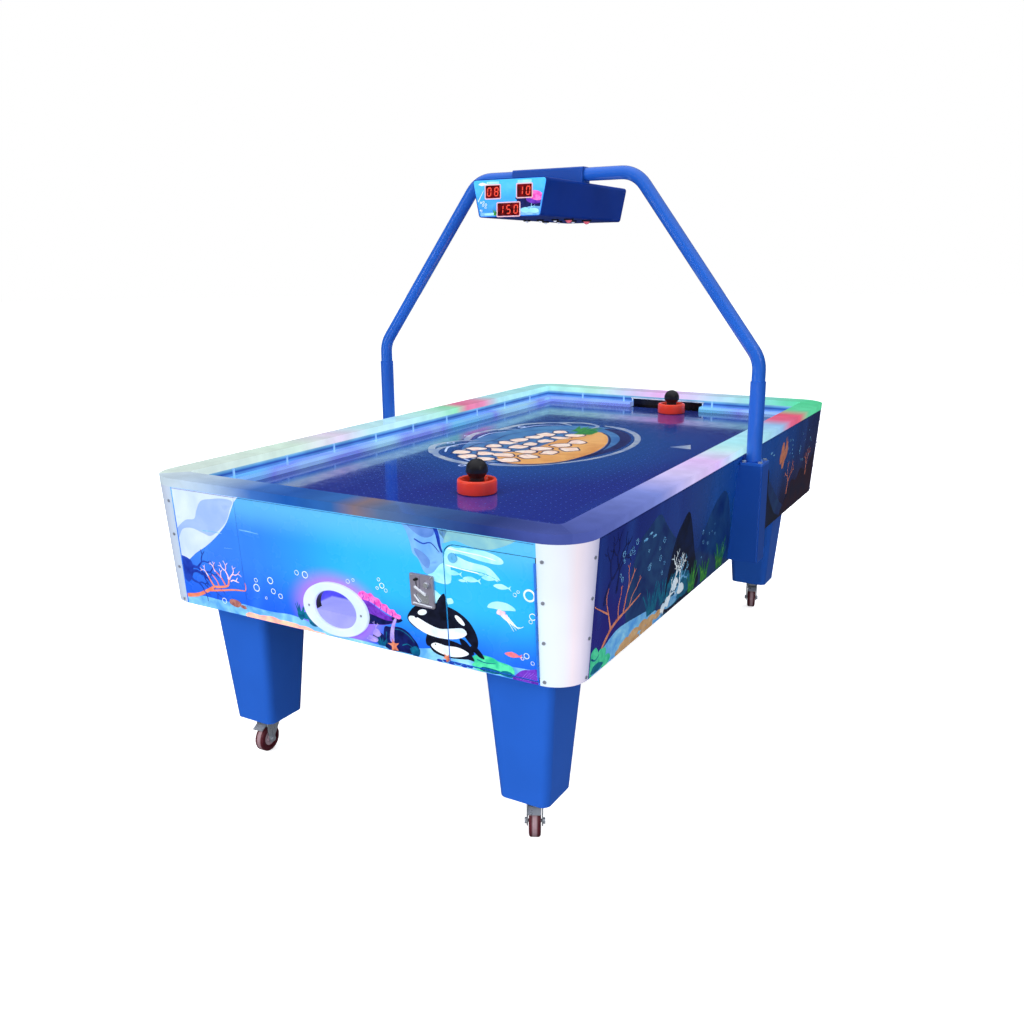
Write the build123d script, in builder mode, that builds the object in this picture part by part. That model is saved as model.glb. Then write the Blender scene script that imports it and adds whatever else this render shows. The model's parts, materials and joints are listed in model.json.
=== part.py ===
"""Arcade air hockey table: flared cabinet on four castor legs, lit rails, air-fed playfield,
a tube arch over the middle that carries the scoreboard, and a coin-operated front end.

Millimetres, +Z up. The origin is on the floor below the table's centre, +Y runs along the
length and the coin end (the front) faces -Y.
"""
import math
import os

from build123d import *

os.makedirs("parts", exist_ok=True)

# ---- cabinet: four flat panels that flare outwards, joined by conical corners ----
RAIL_TOP = 800.0
PANEL_TOP = 778.0
CABINET_BOTTOM = 463.0
FLAT_X = 522.0          # corner axes: half width and half length of the flat stretches
FLAT_Y = 983.0
RADIUS_BOTTOM = 74.5    # corner radius at the cabinet's bottom and at the rail's top
RADIUS_TOP = 97.5
FLARE = (RADIUS_TOP - RADIUS_BOTTOM) / (RAIL_TOP - CABINET_BOTTOM)
PANEL = 18.0            # panel board thickness
FLOOR_Z = CABINET_BOTTOM + PANEL
INSIDE_X = FLAT_X + RADIUS_BOTTOM - PANEL
INSIDE_Y = FLAT_Y + RADIUS_BOTTOM - PANEL
COVER = 3.0             # corner cover wall
POST_SET_BACK = 30.0    # depth of the light channel behind a corner cover
POST_SHELL_R = 44.0     # above CORE_TOP the post is a shell that clears the rail frame
CORE_TOP = 730.0
EAR_ANGLE = 14.0        # width of the screw ear at each edge of a corner post
SCREW_ANGLE = 8.0
SCREW_HEIGHTS = (473.0, 562.0, 651.0, 740.0)
SCREW_HEAD_R = 4.0
SCREW_HEAD = 1.8
SCREW_SHANK_R = 1.6
SCREW_SHANK = 14.0
STRIP_W, STRIP_THICK = 12.0, 3.0        # light strips behind the corner covers and in the side rails
STRIP_LOW, STRIP_HIGH = 490.0, 760.0
STRIP_ANGLE = 14.0
RAIL_STRIP_Z = 764.0

# ---- rails and playfield ----
RAIL_WALL = 5.0
RAIL_INNER_X = 540.0
RAIL_INNER_Y = 1001.0
LIP_BOTTOM = 780.0
PLAY_Z = 738.0
PLAY_THICK = 6.0
PLAY_X = 510.0          # half size inside the puck rails
PLAY_Y = 970.0
SHEET_X = 535.0         # half width of the playfield sheet
PUCK_RAIL_TOP = 757.0
PUCK_RAIL_CHAMFER = 8.0
LIGHT_WALL = 4.0
LIGHT_WALL_X = 548.0
LIGHT_WALL_Y = 1009.0
GOAL_HALF = 148.0
GOAL_TOP = 768.0

# ---- air supply ----
CHAMBER_X = 590.0
CHAMBER_BOTTOM = 640.0
CHAMBER_WALL = 12.0
BEAM = 75.0             # long timber under each puck rail
POCKETS = 5             # air pockets along the chamber, joined by a shallow plenum on top
POCKET_PITCH = 385.0
PLENUM = 20.0
BLOWER_Y = 250.0
BLOWER_Z = 558.0
BLOWER_R = 72.0
BLOWER_HALF = 50.0
BLOWER_FOOT = 90.0
OUTLET_Y = BLOWER_Y + 45.0
OUTLET_LONG = 50.0
INTAKE_R = 46.0
SHEET_METAL = 2.0
IMPELLER_R = 60.0
IMPELLER_START = 8.0    # from the housing's left side
IMPELLER_WIDE = 78.0
BLADES = 24
BLADE_DEEP, BLADE_THICK, BLADE_TURN = 9.0, 1.6, 30.0
HUB_R, HUB_LONG = 12.0, 22.0
SHAFT_R = 4.0
MOTOR_R = 42.0
MOTOR_LENGTH = 90.0
FINS, FIN_PITCH, FIN_THICK, FIN_OUT = 5, 14.0, 3.0, 5.0
RUNNING_FIT = 0.05

# ---- puck return ----
PORT_X = -14.0
PORT_Z = 538.0
RING_W, RING_H = 193.0, 134.0
HOLE_W, HOLE_H = 126.0, 96.0
RING_THICK = 8.0
RING_EDGE = 2.5
RING_SCREW = 77.5
RING_SCREW_R, RING_SCREW_DEEP = 3.0, 2.0
SHELF_DROP = 10.0       # the tray's top lies this far below the port's centre
SHELF_OUT = 1042.0
TRAY_DEPTH = PANEL + 4.0
CHUTE_IN, CHUTE_OUT = FLAT_Y + 1.0, 1040.0
CHUTE_TOP = PLAY_Z - 2.0
CHUTE_LOW = 505.0
CHUTE_LOW_HALF = 78.0
CHUTE = 3.0             # chute wall
FUNNEL_START, FUNNEL_END = 60.0, 150.0  # depths between which the chute narrows

# ---- coin side ----
COIN_X = 238.0
COIN_Z = 628.5
PLATE_W, PLATE_H = 62.0, 77.0
PLATE_THICK = 4.0
BUTTON_AT = (14.0, 17.0)
BUTTON_R = 7.0
BUTTON_TRAVEL = 4.0
RETURN_AT = (0.0, -18.5)
RETURN_W, RETURN_H = 34.0, 24.0
SLOT_AT = (-13.0, 17.0)
SLOT_W, SLOT_H = 3.4, 27.0
BEZEL_W, BEZEL_H = 16.0, 34.0
FLAP_PIN_R = 1.0
FLAP_PIN_END = 3.0
FLAP_TOP = RETURN_AT[1] + RETURN_H / 2 - 2.2
FLAP_LOW = RETURN_AT[1] - RETURN_H / 2 + 0.8
FLAP_OUT = 1.8
FLAP_THICK = 1.6
MECHANISM_BACK = 16.0
CASH_AT = (320.0, -965.0)
CASH_W, CASH_L, CASH_H = 230.0, 130.0, 85.0
CASH_SHEET = 1.5
DOOR_LEFT = 298.0
DOOR_RIGHT = 519.5
DOOR_LOW, DOOR_HIGH = 8.0, 283.0    # heights up the tilted panel, from the cabinet's bottom
DOOR_GAP = 1.5
DOOR_CORNER = 30.0
HINGE_X = 519.3
HINGE_OUT = 2.5
LOCK_AT = (322.0, 255.0)
LOCK_R = 9.0
LEAF = 0.9
KNUCKLE_R = 2.4
HINGE_PIN_R = 1.2
HINGE_LOW = DOOR_LOW + 10.0
KNUCKLES = 9
KNUCKLE_PITCH = (DOOR_HIGH - DOOR_LOW - 20.0) / KNUCKLES
LEAF_DEEP = 14.0

# ---- power inlet ----
INLET_AT = (-300.0, 70.0)
INLET_W, INLET_H = 27.5, 47.0
SOCKET_AT = (0.0, -8.0)
ROCKER_AT = (0.0, 13.5)
ROCKER_W, ROCKER_H = 18.0, 12.0
ROCKER_REST = 8.0       # the rocker stands at off and tips through twice this angle to on

# ---- legs and castors ----
LEG_X, LEG_Y = 422.0, 895.0
LEG_TOP_HALF = 91.0
LEG_FOOT_HALF = 65.0
LEG_FOOT_Z = 107.0
LEG_EDGE = 22.0
LEG_SHEET = 3.0
WHEEL_R = 37.5
WHEEL_HALF = 14.0
TRAIL = 20.0
AXLE_R = 4.0
KINGPIN_R = 8.0
CASTOR_PLATE = 84.0
CASTOR_PLATE_THICK = 3.0
PLATE_BOLT_PITCH = 62.0
RACE_R = 23.0
RACE_LOW = 95.0
CROWN_LOW, CROWN_HIGH = 80.0, 94.5
PEDAL_PIVOT_OUT, PEDAL_PIVOT_Z = 30.0, 80.0
PEDAL_BOSS_R = 3.8
PEDAL_PIN_R = 2.5
CHEEK_IN = 16.5
CHEEK = 3.0
CASTOR_YAW = {"front_left": 5.0, "front_right": 27.0, "rear_left": -10.0, "rear_right": 18.0}

# ---- arch and scoreboard ----
TUBE_R = 19.0
TUBE_WALL = 2.5
ARCH_X = 649.0
ARCH_KNEE_Z = 1051.0
ARCH_TOP_X = 264.0
ARCH_TOP_Z = 1567.0
ARCH_BEND = 90.0
ARCH_FOOT_Z = 775.0
SLEEVE_R = 21.5
SLEEVE_TOP = 990.0
BOX_OUT = 685.0
BOX_HALF = 35.0
BOX_TOP = 755.0
BOX_BOTTOM = 470.0
FLANGE_THICK = 7.0
FLANGE_HALF = 33.5
FLANGE_X = BOX_OUT - FLANGE_HALF
BOLT_GRID = (46.0, 50.0, 2, 2)
BOLT_R = 4.0
BOLT_HEAD_R = 6.5
BOLT_HEAD = 5.0
BOARD_HALF_Y = 270.0
BOARD_TOP_X, BOARD_LOW_X = 119.0, 98.0
BOARD_TOP, BOARD_LOW = 1543.0, 1441.0
FACE_THICK = 3.0
DISPLAY_DEEP, DISPLAY_PROUD = 14.0, 0.8
DISPLAYS = ((-52.0, 1509.0, 46.0, 34.0), (49.0, 1509.0, 46.0, 34.0), (-2.0, 1461.0, 70.0, 34.0))
SADDLE = (-130.0, 105.0, 25.0, 1588.0)   # left, right, half depth, top
LAMPS = ((-60.0, 7.0), (-15.0, 7.0), (35.0, 7.0), (80.0, 11.0))    # place along X, radius
LAMP_Y = 60.0
LAMP_BASE = 3.0

# ---- electronics on the cabinet floor ----
BOARD_AT = (0.0, -700.0)
BOARD_THICK = 6.0
SPEAKER_AT = (-250.0, -700.0)
SPEAKER_FLANGE = 12.0

# ---- loose pieces ----
MALLETS = {"front": (100.0, -620.0), "back": (60.0, 900.0)}
MALLET_R = 52.5
MALLET_H = 38.0
MALLET_FLOOR = 12.0
KNOB_R = 29.0
KNOB_TOP = 90.0
PUCK_R = 31.5
PUCK_THICK = 6.0
PUCK_Y = 1025.0

TILT = math.degrees(math.atan(FLARE))
SIDES = (-1, 1)
CORNERS = [(sx * FLAT_X, sy * FLAT_Y, start) for sx, sy, start in
           ((1, 1, 0.0), (-1, 1, 90.0), (-1, -1, 180.0), (1, -1, 270.0))]


def radius_at(z):
    """Corner radius at height z; a flat panel's face stands this far outside FLAT_X or FLAT_Y."""
    return RADIUS_BOTTOM + FLARE * (z - CABINET_BOTTOM)


def finish(piece, name):
    piece.part.label = name
    export_step(piece.part, f"parts/{name}.step")


def end_plane(end, x=0.0, up=0.0, out=0.0):
    """Plane on an end panel's tilted outer face: local x across, y up the slope, z outwards."""
    face = Plane((0, end * (FLAT_Y + RADIUS_BOTTOM), CABINET_BOTTOM), x_dir=(-end, 0, 0),
                 z_dir=(0, end, -FLARE))
    return face.offset(out).shift_origin(face.offset(out).from_local_coords((x, up, 0)))


def up_slope(z):
    """Distance up the tilted panel from the cabinet's bottom to height z."""
    return (z - CABINET_BOTTOM) / math.cos(math.radians(TILT))


def corner_plane(x, y, angle):
    """Vertical plane through a corner axis: local x points outwards at angle, local y is up."""
    turn = math.radians(angle)
    return Plane((x, y, 0), x_dir=(math.cos(turn), math.sin(turn), 0),
                 z_dir=(math.sin(turn), -math.cos(turn), 0))


def revolve_corner(x, y, start, sweep, points):
    """Turn a closed (radius, z) outline about a corner axis."""
    with BuildSketch(corner_plane(x, y, start)) as outline:
        with BuildLine():
            Polyline(*points, close=True)
        make_face()
    revolve(outline.sketch, axis=Axis((x, y, 0), (0, 0, 1)), revolution_arc=sweep)


def wall_outline(outer_at_low, outer_at_high, low, high, thick):
    """Outline of a flared wall of the given thickness between two heights."""
    return [(outer_at_low, low), (outer_at_high, high), (outer_at_high - thick, high),
            (outer_at_low - thick, low)]


# ================= cabinet =================
with BuildPart() as side_panels:
    with BuildSketch(Plane.XZ.offset(-FLAT_Y)):
        with BuildLine():
            Polyline(*wall_outline(FLAT_X + radius_at(CABINET_BOTTOM), FLAT_X + radius_at(PANEL_TOP),
                                   CABINET_BOTTOM, PANEL_TOP, PANEL), close=True)
        make_face()
        mirror(about=Plane.YZ)
    extrude(amount=2 * FLAT_Y)
finish(side_panels, "side_panels")


def end_panel_blank(end):
    """Flared end board, drawn in the YZ plane and extruded across the table."""
    outline = wall_outline(FLAT_Y + radius_at(CABINET_BOTTOM), FLAT_Y + radius_at(PANEL_TOP),
                           CABINET_BOTTOM, PANEL_TOP, PANEL)
    with BuildSketch(Plane.YZ.offset(-FLAT_X)) as board:
        with BuildLine():
            Polyline(*[(end * y, z) for y, z in outline], close=True)
        make_face()
    extrude(board.sketch, amount=2 * FLAT_X)


def cut_port(end):
    with BuildSketch(end_plane(end, PORT_X, up_slope(PORT_Z), 1.0)) as port:
        Ellipse(HOLE_W / 2, HOLE_H / 2)
    extrude(port.sketch, amount=-PANEL - 4.0, mode=Mode.SUBTRACT)


with BuildPart() as end_panel_front:
    end_panel_blank(-1)
    cut_port(-1)
    with BuildSketch(end_plane(-1, COIN_X, up_slope(COIN_Z), 1.0)):
        Rectangle(PLATE_W - 12.0, PLATE_H - 12.0)
    extrude(amount=-PANEL - 4.0, mode=Mode.SUBTRACT)
    with BuildSketch(end_plane(-1, 0.0, 0.0, 1.0)):
        with Locations(((DOOR_LEFT - DOOR_GAP + FLAT_X) / 2, (DOOR_LOW + DOOR_HIGH) / 2)):
            cut = Rectangle(FLAT_X - DOOR_LEFT + DOOR_GAP, DOOR_HIGH - DOOR_LOW + 2 * DOOR_GAP)
        fillet(cut.vertices().group_by(Axis.X)[0].sort_by(Axis.Z)[-1:], DOOR_CORNER)
    extrude(amount=-PANEL - 4.0, mode=Mode.SUBTRACT)
finish(end_panel_front, "end_panel_front")

with BuildPart() as end_panel_back:
    end_panel_blank(1)
    cut_port(1)
    with BuildSketch(end_plane(1, *INLET_AT, 1.0)):
        Rectangle(INLET_W, INLET_H)
    extrude(amount=-PANEL - 4.0, mode=Mode.SUBTRACT)
finish(end_panel_back, "end_panel_back")

with BuildPart() as bottom_board:
    with BuildSketch(Plane.XY.offset(CABINET_BOTTOM)):
        Rectangle(2 * INSIDE_X, 2 * FLAT_Y)
        Rectangle(2 * FLAT_X, 2 * INSIDE_Y)
    extrude(amount=PANEL)
finish(bottom_board, "bottom_board")

with BuildPart() as corner_posts:
    for corner_x, corner_y, start in CORNERS:
        low, high = CABINET_BOTTOM, PANEL_TOP
        r_low, r_high = radius_at(low) - COVER, radius_at(high) - COVER
        back_low, back_high = r_low - POST_SET_BACK, r_high - POST_SET_BACK
        revolve_corner(corner_x, corner_y, start, 90.0,
                       [(0, low), (back_low, low), (back_high, high), (POST_SHELL_R, high),
                        (POST_SHELL_R, CORE_TOP), (0, CORE_TOP)])
        for ear_start in (start, start + 90.0 - EAR_ANGLE):
            revolve_corner(corner_x, corner_y, ear_start, EAR_ANGLE,
                           [(back_low, low), (r_low, low), (r_high, high), (back_high, high)])
finish(corner_posts, "corner_posts")


def corner_screws(head_r, head, shank_r, shank):
    """A screw at every height near both edges of each corner cover, square to its surface."""
    for corner_x, corner_y, start in CORNERS:
        for angle in (start + SCREW_ANGLE, start + 90.0 - SCREW_ANGLE):
            turn = math.radians(angle)
            for z in SCREW_HEIGHTS:
                spot = (corner_x + radius_at(z) * math.cos(turn),
                        corner_y + radius_at(z) * math.sin(turn), z)
                out = Plane(spot, z_dir=(math.cos(turn), math.sin(turn), -FLARE))
                if head:
                    with BuildSketch(out) as top:
                        Circle(head_r)
                    extrude(top.sketch, amount=head)
                with BuildSketch(out) as stem:
                    Circle(shank_r)
                extrude(stem.sketch, amount=-shank, mode=Mode.ADD if head else Mode.SUBTRACT)


with BuildPart() as corner_covers:
    for corner_x, corner_y, start in CORNERS:
        revolve_corner(corner_x, corner_y, start, 90.0,
                       wall_outline(radius_at(CABINET_BOTTOM), radius_at(PANEL_TOP),
                                    CABINET_BOTTOM, PANEL_TOP, COVER))
    corner_screws(0, 0, SCREW_SHANK_R, 2 * COVER)
finish(corner_covers, "corner_covers")

with BuildPart() as cover_screws:
    corner_screws(SCREW_HEAD_R, SCREW_HEAD, SCREW_SHANK_R, SCREW_SHANK)
finish(cover_screws, "cover_screws")

with BuildPart() as light_strips:
    for corner_x, corner_y, start in CORNERS:
        strip_low = radius_at(STRIP_LOW) - COVER - POST_SET_BACK + STRIP_THICK
        strip_high = radius_at(STRIP_HIGH) - COVER - POST_SET_BACK + STRIP_THICK
        revolve_corner(corner_x, corner_y, start + 45.0 - STRIP_ANGLE / 2, STRIP_ANGLE,
                       wall_outline(strip_low, strip_high, STRIP_LOW, STRIP_HIGH, STRIP_THICK))
    for side in SIDES:
        with BuildSketch(Plane.XY.offset(RAIL_STRIP_Z)):
            with Locations((side * (LIGHT_WALL_X + LIGHT_WALL + STRIP_THICK / 2), 0)):
                Rectangle(STRIP_THICK, 2 * FLAT_Y - 60.0)
        extrude(amount=STRIP_W)
finish(light_strips, "light_strips")

# ================= rails =================
def rail_outline(flat, inner):
    """Hollow rail cap in section: outer band, top plate and inner lip."""
    outer_low, outer_top = flat + radius_at(PANEL_TOP), flat + RADIUS_TOP
    return [(outer_low, PANEL_TOP), (outer_top, RAIL_TOP), (inner, RAIL_TOP), (inner, LIP_BOTTOM),
            (inner + RAIL_WALL, LIP_BOTTOM), (inner + RAIL_WALL, RAIL_TOP - RAIL_WALL),
            (outer_top - RAIL_WALL, RAIL_TOP - RAIL_WALL), (outer_low - RAIL_WALL, PANEL_TOP)]


with BuildPart() as rail_caps:
    with BuildSketch(Plane.XZ.offset(-FLAT_Y)):
        with BuildLine():
            Polyline(*rail_outline(FLAT_X, RAIL_INNER_X), close=True)
        make_face()
        mirror(about=Plane.YZ)
    extrude(amount=2 * FLAT_Y)
    with BuildSketch(Plane.YZ.offset(-FLAT_X)):
        with BuildLine():
            Polyline(*rail_outline(FLAT_Y, RAIL_INNER_Y), close=True)
        make_face()
        mirror(about=Plane.YZ)
    extrude(amount=2 * FLAT_X)
finish(rail_caps, "rail_caps")

with BuildPart() as rail_corners:
    inner_r = RAIL_INNER_X - FLAT_X
    for corner_x, corner_y, start in CORNERS:
        revolve_corner(corner_x, corner_y, start, 90.0, rail_outline(0.0, inner_r))
finish(rail_corners, "rail_corners")


def ring_frame(outer_x, outer_y, inner_x, inner_y, low, high):
    """Rectangular frame between two heights."""
    with BuildSketch(Plane.XY.offset(low)) as frame:
        Rectangle(2 * outer_x, 2 * outer_y)
        Rectangle(2 * inner_x, 2 * inner_y, mode=Mode.SUBTRACT)
    extrude(frame.sketch, amount=high - low)


def goal_gap(low, high):
    """Cut the goal mouths through both ends between two heights."""
    with BuildSketch(Plane.XY.offset(low)) as gap:
        Rectangle(2 * GOAL_HALF, 4 * FLAT_Y)
    extrude(gap.sketch, amount=high - low, mode=Mode.SUBTRACT)


with BuildPart() as rail_light_walls:
    ring_frame(LIGHT_WALL_X + LIGHT_WALL, LIGHT_WALL_Y + LIGHT_WALL, LIGHT_WALL_X, LIGHT_WALL_Y,
               PLAY_Z, RAIL_TOP - RAIL_WALL)
    goal_gap(PLAY_Z, GOAL_TOP)
finish(rail_light_walls, "rail_light_walls")

with BuildPart() as puck_rails:
    ring_frame(LIGHT_WALL_X, LIGHT_WALL_Y, PLAY_X, PLAY_Y, PLAY_Z, PUCK_RAIL_TOP)
    inner_top = puck_rails.faces().sort_by(Axis.Z)[-1].inner_wires()[0].edges()
    chamfer(inner_top, PUCK_RAIL_CHAMFER)
    goal_gap(PLAY_Z, PUCK_RAIL_TOP)
finish(puck_rails, "puck_rails")

with BuildPart() as playfield:
    with BuildSketch(Plane.XY.offset(PLAY_Z - PLAY_THICK)):
        Rectangle(2 * SHEET_X, 2 * FLAT_Y)
    extrude(amount=PLAY_THICK)
finish(playfield, "playfield")

# ================= air chamber and blower =================
with BuildPart() as air_chamber:
    chamber_top = PLAY_Z - PLAY_THICK
    with BuildSketch(Plane.XY.offset(CHAMBER_BOTTOM)):
        Rectangle(2 * CHAMBER_X, 2 * FLAT_Y)
    extrude(amount=chamber_top - CHAMBER_BOTTOM)
    with BuildSketch(Plane.XY.offset(CHAMBER_BOTTOM + CHAMBER_WALL)):
        with GridLocations(0, POCKET_PITCH, 1, POCKETS):
            Rectangle(2 * (CHAMBER_X - BEAM), POCKET_PITCH - CHAMBER_WALL)
    extrude(amount=chamber_top, mode=Mode.SUBTRACT)
    with BuildSketch(Plane.XY.offset(chamber_top - PLENUM)):
        Rectangle(2 * (CHAMBER_X - BEAM), POCKETS * POCKET_PITCH - CHAMBER_WALL)
    extrude(amount=chamber_top, mode=Mode.SUBTRACT)
    with BuildSketch(Plane.XY.offset(CHAMBER_BOTTOM)):
        with Locations((0, OUTLET_Y)):
            Rectangle(2 * (BLOWER_HALF - SHEET_METAL), OUTLET_LONG - 2 * SHEET_METAL)
    extrude(amount=CHAMBER_WALL, mode=Mode.SUBTRACT)
finish(air_chamber, "air_chamber")

BLOWER_AXIS = Plane((0, BLOWER_Y, BLOWER_Z), x_dir=(0, 1, 0), z_dir=(1, 0, 0))
with BuildPart() as blower_housing:
    with BuildSketch(BLOWER_AXIS.offset(-BLOWER_HALF)):
        Circle(BLOWER_R)
    extrude(amount=2 * BLOWER_HALF)
    with BuildSketch(Plane.XY.offset(BLOWER_Z)):
        with Locations((0, OUTLET_Y)):
            Rectangle(2 * BLOWER_HALF, OUTLET_LONG)
    extrude(amount=CHAMBER_BOTTOM - BLOWER_Z)
    with BuildSketch(Plane.XY.offset(FLOOR_Z)):
        with Locations((0, BLOWER_Y)):
            Rectangle(2 * BLOWER_HALF, BLOWER_FOOT)
    extrude(amount=BLOWER_Z - FLOOR_Z - BLOWER_R + CHAMBER_WALL)
    with BuildSketch(BLOWER_AXIS.offset(-BLOWER_HALF + SHEET_METAL)):
        Circle(BLOWER_R - SHEET_METAL)
    extrude(amount=2 * (BLOWER_HALF - SHEET_METAL), mode=Mode.SUBTRACT)
    with BuildSketch(Plane.XY.offset(BLOWER_Z)):
        with Locations((0, OUTLET_Y)):
            Rectangle(2 * (BLOWER_HALF - SHEET_METAL), OUTLET_LONG - 2 * SHEET_METAL)
    extrude(amount=CHAMBER_BOTTOM - BLOWER_Z, mode=Mode.SUBTRACT)
    with BuildSketch(BLOWER_AXIS):
        Circle(INTAKE_R)
    extrude(amount=BLOWER_HALF, mode=Mode.SUBTRACT)
    with BuildSketch(BLOWER_AXIS):
        Circle(SHAFT_R + 4.0)
    extrude(amount=-BLOWER_HALF, mode=Mode.SUBTRACT)
finish(blower_housing, "blower_housing")

with BuildPart() as blower_motor:
    with BuildSketch(BLOWER_AXIS.offset(-BLOWER_HALF)):
        Circle(MOTOR_R)
    extrude(amount=-MOTOR_LENGTH)
    for fin in range(FINS):
        with BuildSketch(BLOWER_AXIS.offset(-BLOWER_HALF - FIN_PITCH * (fin + 1))):
            Circle(MOTOR_R + FIN_OUT)
            Circle(MOTOR_R - 1.0, mode=Mode.SUBTRACT)
        extrude(amount=-FIN_THICK)
    with BuildSketch(BLOWER_AXIS.offset(-BLOWER_HALF)):
        Circle(SHAFT_R + RUNNING_FIT)
    extrude(amount=-MOTOR_LENGTH + 20.0, mode=Mode.SUBTRACT)
finish(blower_motor, "blower_motor")

with BuildPart() as blower_impeller:
    back_plate = BLOWER_AXIS.offset(-BLOWER_HALF + IMPELLER_START)
    with BuildSketch(back_plate):
        Circle(IMPELLER_R)
    extrude(amount=SHEET_METAL)
    with BuildSketch(back_plate):
        with PolarLocations(IMPELLER_R - 5.5, BLADES, rotate=True):
            Rectangle(BLADE_DEEP, BLADE_THICK, rotation=BLADE_TURN)
    extrude(amount=IMPELLER_WIDE)
    with BuildSketch(back_plate.offset(IMPELLER_WIDE - SHEET_METAL)):
        Circle(IMPELLER_R)
        Circle(IMPELLER_R - 10.0, mode=Mode.SUBTRACT)
    extrude(amount=SHEET_METAL)
    with BuildSketch(back_plate):
        Circle(HUB_R)
    extrude(amount=HUB_LONG)
    with BuildSketch(BLOWER_AXIS.offset(-BLOWER_HALF - MOTOR_LENGTH + 25.0)):
        Circle(SHAFT_R)
    extrude(amount=MOTOR_LENGTH)
finish(blower_impeller, "blower_impeller")

# ================= goals and puck return =================
SHELF_Z = PORT_Z - SHELF_DROP + TRAY_DEPTH * FLARE    # where the sloping tray's inner end lies


def funnel(half_top, half_low, top, low):
    """Outline of a chute that narrows from the goal's width to the port's."""
    right = [(half_low, low), (half_low, top - FUNNEL_END), (half_top, top - FUNNEL_START),
             (half_top, top)]
    return [(-across, up) for across, up in reversed(right)] + right


with BuildPart() as goal_chutes:
    for end in SIDES:
        across = Plane((-end * PORT_X, end * CHUTE_IN, 0), x_dir=(-end, 0, 0), z_dir=(0, end, 0))
        depth = CHUTE_OUT - CHUTE_IN
        with BuildSketch(across):
            with BuildLine():
                Polyline(*funnel(GOAL_HALF + CHUTE, CHUTE_LOW_HALF + CHUTE, CHUTE_TOP, CHUTE_LOW),
                         close=True)
            make_face()
        extrude(amount=depth)
        with BuildSketch(across.offset(CHUTE)):
            with BuildLine():
                Polyline(*funnel(GOAL_HALF, CHUTE_LOW_HALF, CHUTE_TOP + 1.0, CHUTE_LOW + CHUTE),
                         close=True)
            make_face()
        extrude(amount=depth, mode=Mode.SUBTRACT)
        tray = end_plane(end, PORT_X, up_slope(PORT_Z), 0.0)
        with BuildSketch(tray):
            Ellipse(HOLE_W / 2 - 0.5, HOLE_H / 2 - 0.5)
            with Locations((0, HOLE_H / 2 - SHELF_DROP)):
                Rectangle(HOLE_W + 2.0, HOLE_H, mode=Mode.SUBTRACT)
        extrude(amount=-TRAY_DEPTH)
        with BuildSketch(Plane((end * -PORT_X, 0, 0), x_dir=(0, end, 0), z_dir=(end, 0, 0))):
            with BuildLine():
                Polyline((CHUTE_IN + 1.0, CHUTE_LOW), (SHELF_OUT, CHUTE_LOW), (SHELF_OUT, SHELF_Z),
                         (CHUTE_IN + 1.0, SHELF_Z), close=True)
            make_face()
        extrude(amount=HOLE_W / 2 + 10.0, both=True)
finish(goal_chutes, "goal_chutes")

with BuildPart() as port_rings:
    for end in SIDES:
        with BuildSketch(end_plane(end, PORT_X, up_slope(PORT_Z), 0.0)):
            Ellipse(RING_W / 2, RING_H / 2)
            Ellipse(HOLE_W / 2, HOLE_H / 2, mode=Mode.SUBTRACT)
        extrude(amount=RING_THICK)
    front_edges = port_rings.edges().filter_by(GeomType.ELLIPSE)
    outermost = [edge for edge in front_edges
                 if abs(abs(edge.center().Y) - FLAT_Y - radius_at(PORT_Z)) > RING_THICK / 2]
    fillet(outermost, RING_EDGE)
    for end in SIDES:
        with BuildSketch(end_plane(end, PORT_X, up_slope(PORT_Z), RING_THICK)):
            with Locations((-RING_SCREW, 0), (RING_SCREW, 0)):
                Circle(RING_SCREW_R)
        extrude(amount=-RING_SCREW_DEEP, mode=Mode.SUBTRACT)
finish(port_rings, "port_rings")

# ================= coin plate and mechanism =================
def coin_plane(x=0.0, y=0.0, out=0.0):
    return end_plane(-1, COIN_X + x, up_slope(COIN_Z) + y, out)


def flap_pin_plane(along):
    """Plane across the return flap's pin, at a distance along it from the middle."""
    pivot = coin_plane(0.0, FLAP_TOP, FLAP_OUT)
    return Plane(pivot.origin, x_dir=pivot.y_dir, z_dir=pivot.x_dir).offset(along)


with BuildPart() as coin_plate:
    with BuildSketch(coin_plane()):
        RectangleRounded(PLATE_W, PLATE_H, 4.0)
    extrude(amount=PLATE_THICK)
    with BuildSketch(coin_plane(*SLOT_AT)):
        RectangleRounded(BEZEL_W, BEZEL_H, 3.0)
    extrude(amount=PLATE_THICK + 2.0)
    with BuildSketch(coin_plane(*SLOT_AT)):
        Rectangle(SLOT_W, SLOT_H)
    extrude(amount=PLATE_THICK + 3.0, mode=Mode.SUBTRACT)
    with BuildSketch(coin_plane(*BUTTON_AT)):
        Circle(BUTTON_R + 3.0)
    extrude(amount=PLATE_THICK + 1.5)
    with BuildSketch(coin_plane(*BUTTON_AT)):
        Circle(BUTTON_R + RUNNING_FIT)
    extrude(amount=PLATE_THICK + 3.0, mode=Mode.SUBTRACT)
    with BuildSketch(coin_plane(*RETURN_AT)):
        Rectangle(RETURN_W, RETURN_H)
    extrude(amount=PLATE_THICK + 3.0, mode=Mode.SUBTRACT)
    with BuildSketch(flap_pin_plane(RETURN_W / 2 + FLAP_PIN_END + 1.0)):
        Circle(FLAP_PIN_R + RUNNING_FIT)
    extrude(amount=-RETURN_W - 2 * FLAP_PIN_END - 2.0, mode=Mode.SUBTRACT)
finish(coin_plate, "coin_plate")

with BuildPart() as coin_reject_button:
    with BuildSketch(coin_plane(*BUTTON_AT, -10.0)):
        Circle(BUTTON_R)
    extrude(amount=10.0 + PLATE_THICK + 1.5 + BUTTON_TRAVEL + 1.0)
    chamfer(coin_reject_button.edges().filter_by(GeomType.CIRCLE).sort_by(Axis.Y)[:1], 1.2)
finish(coin_reject_button, "coin_reject_button")

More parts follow.
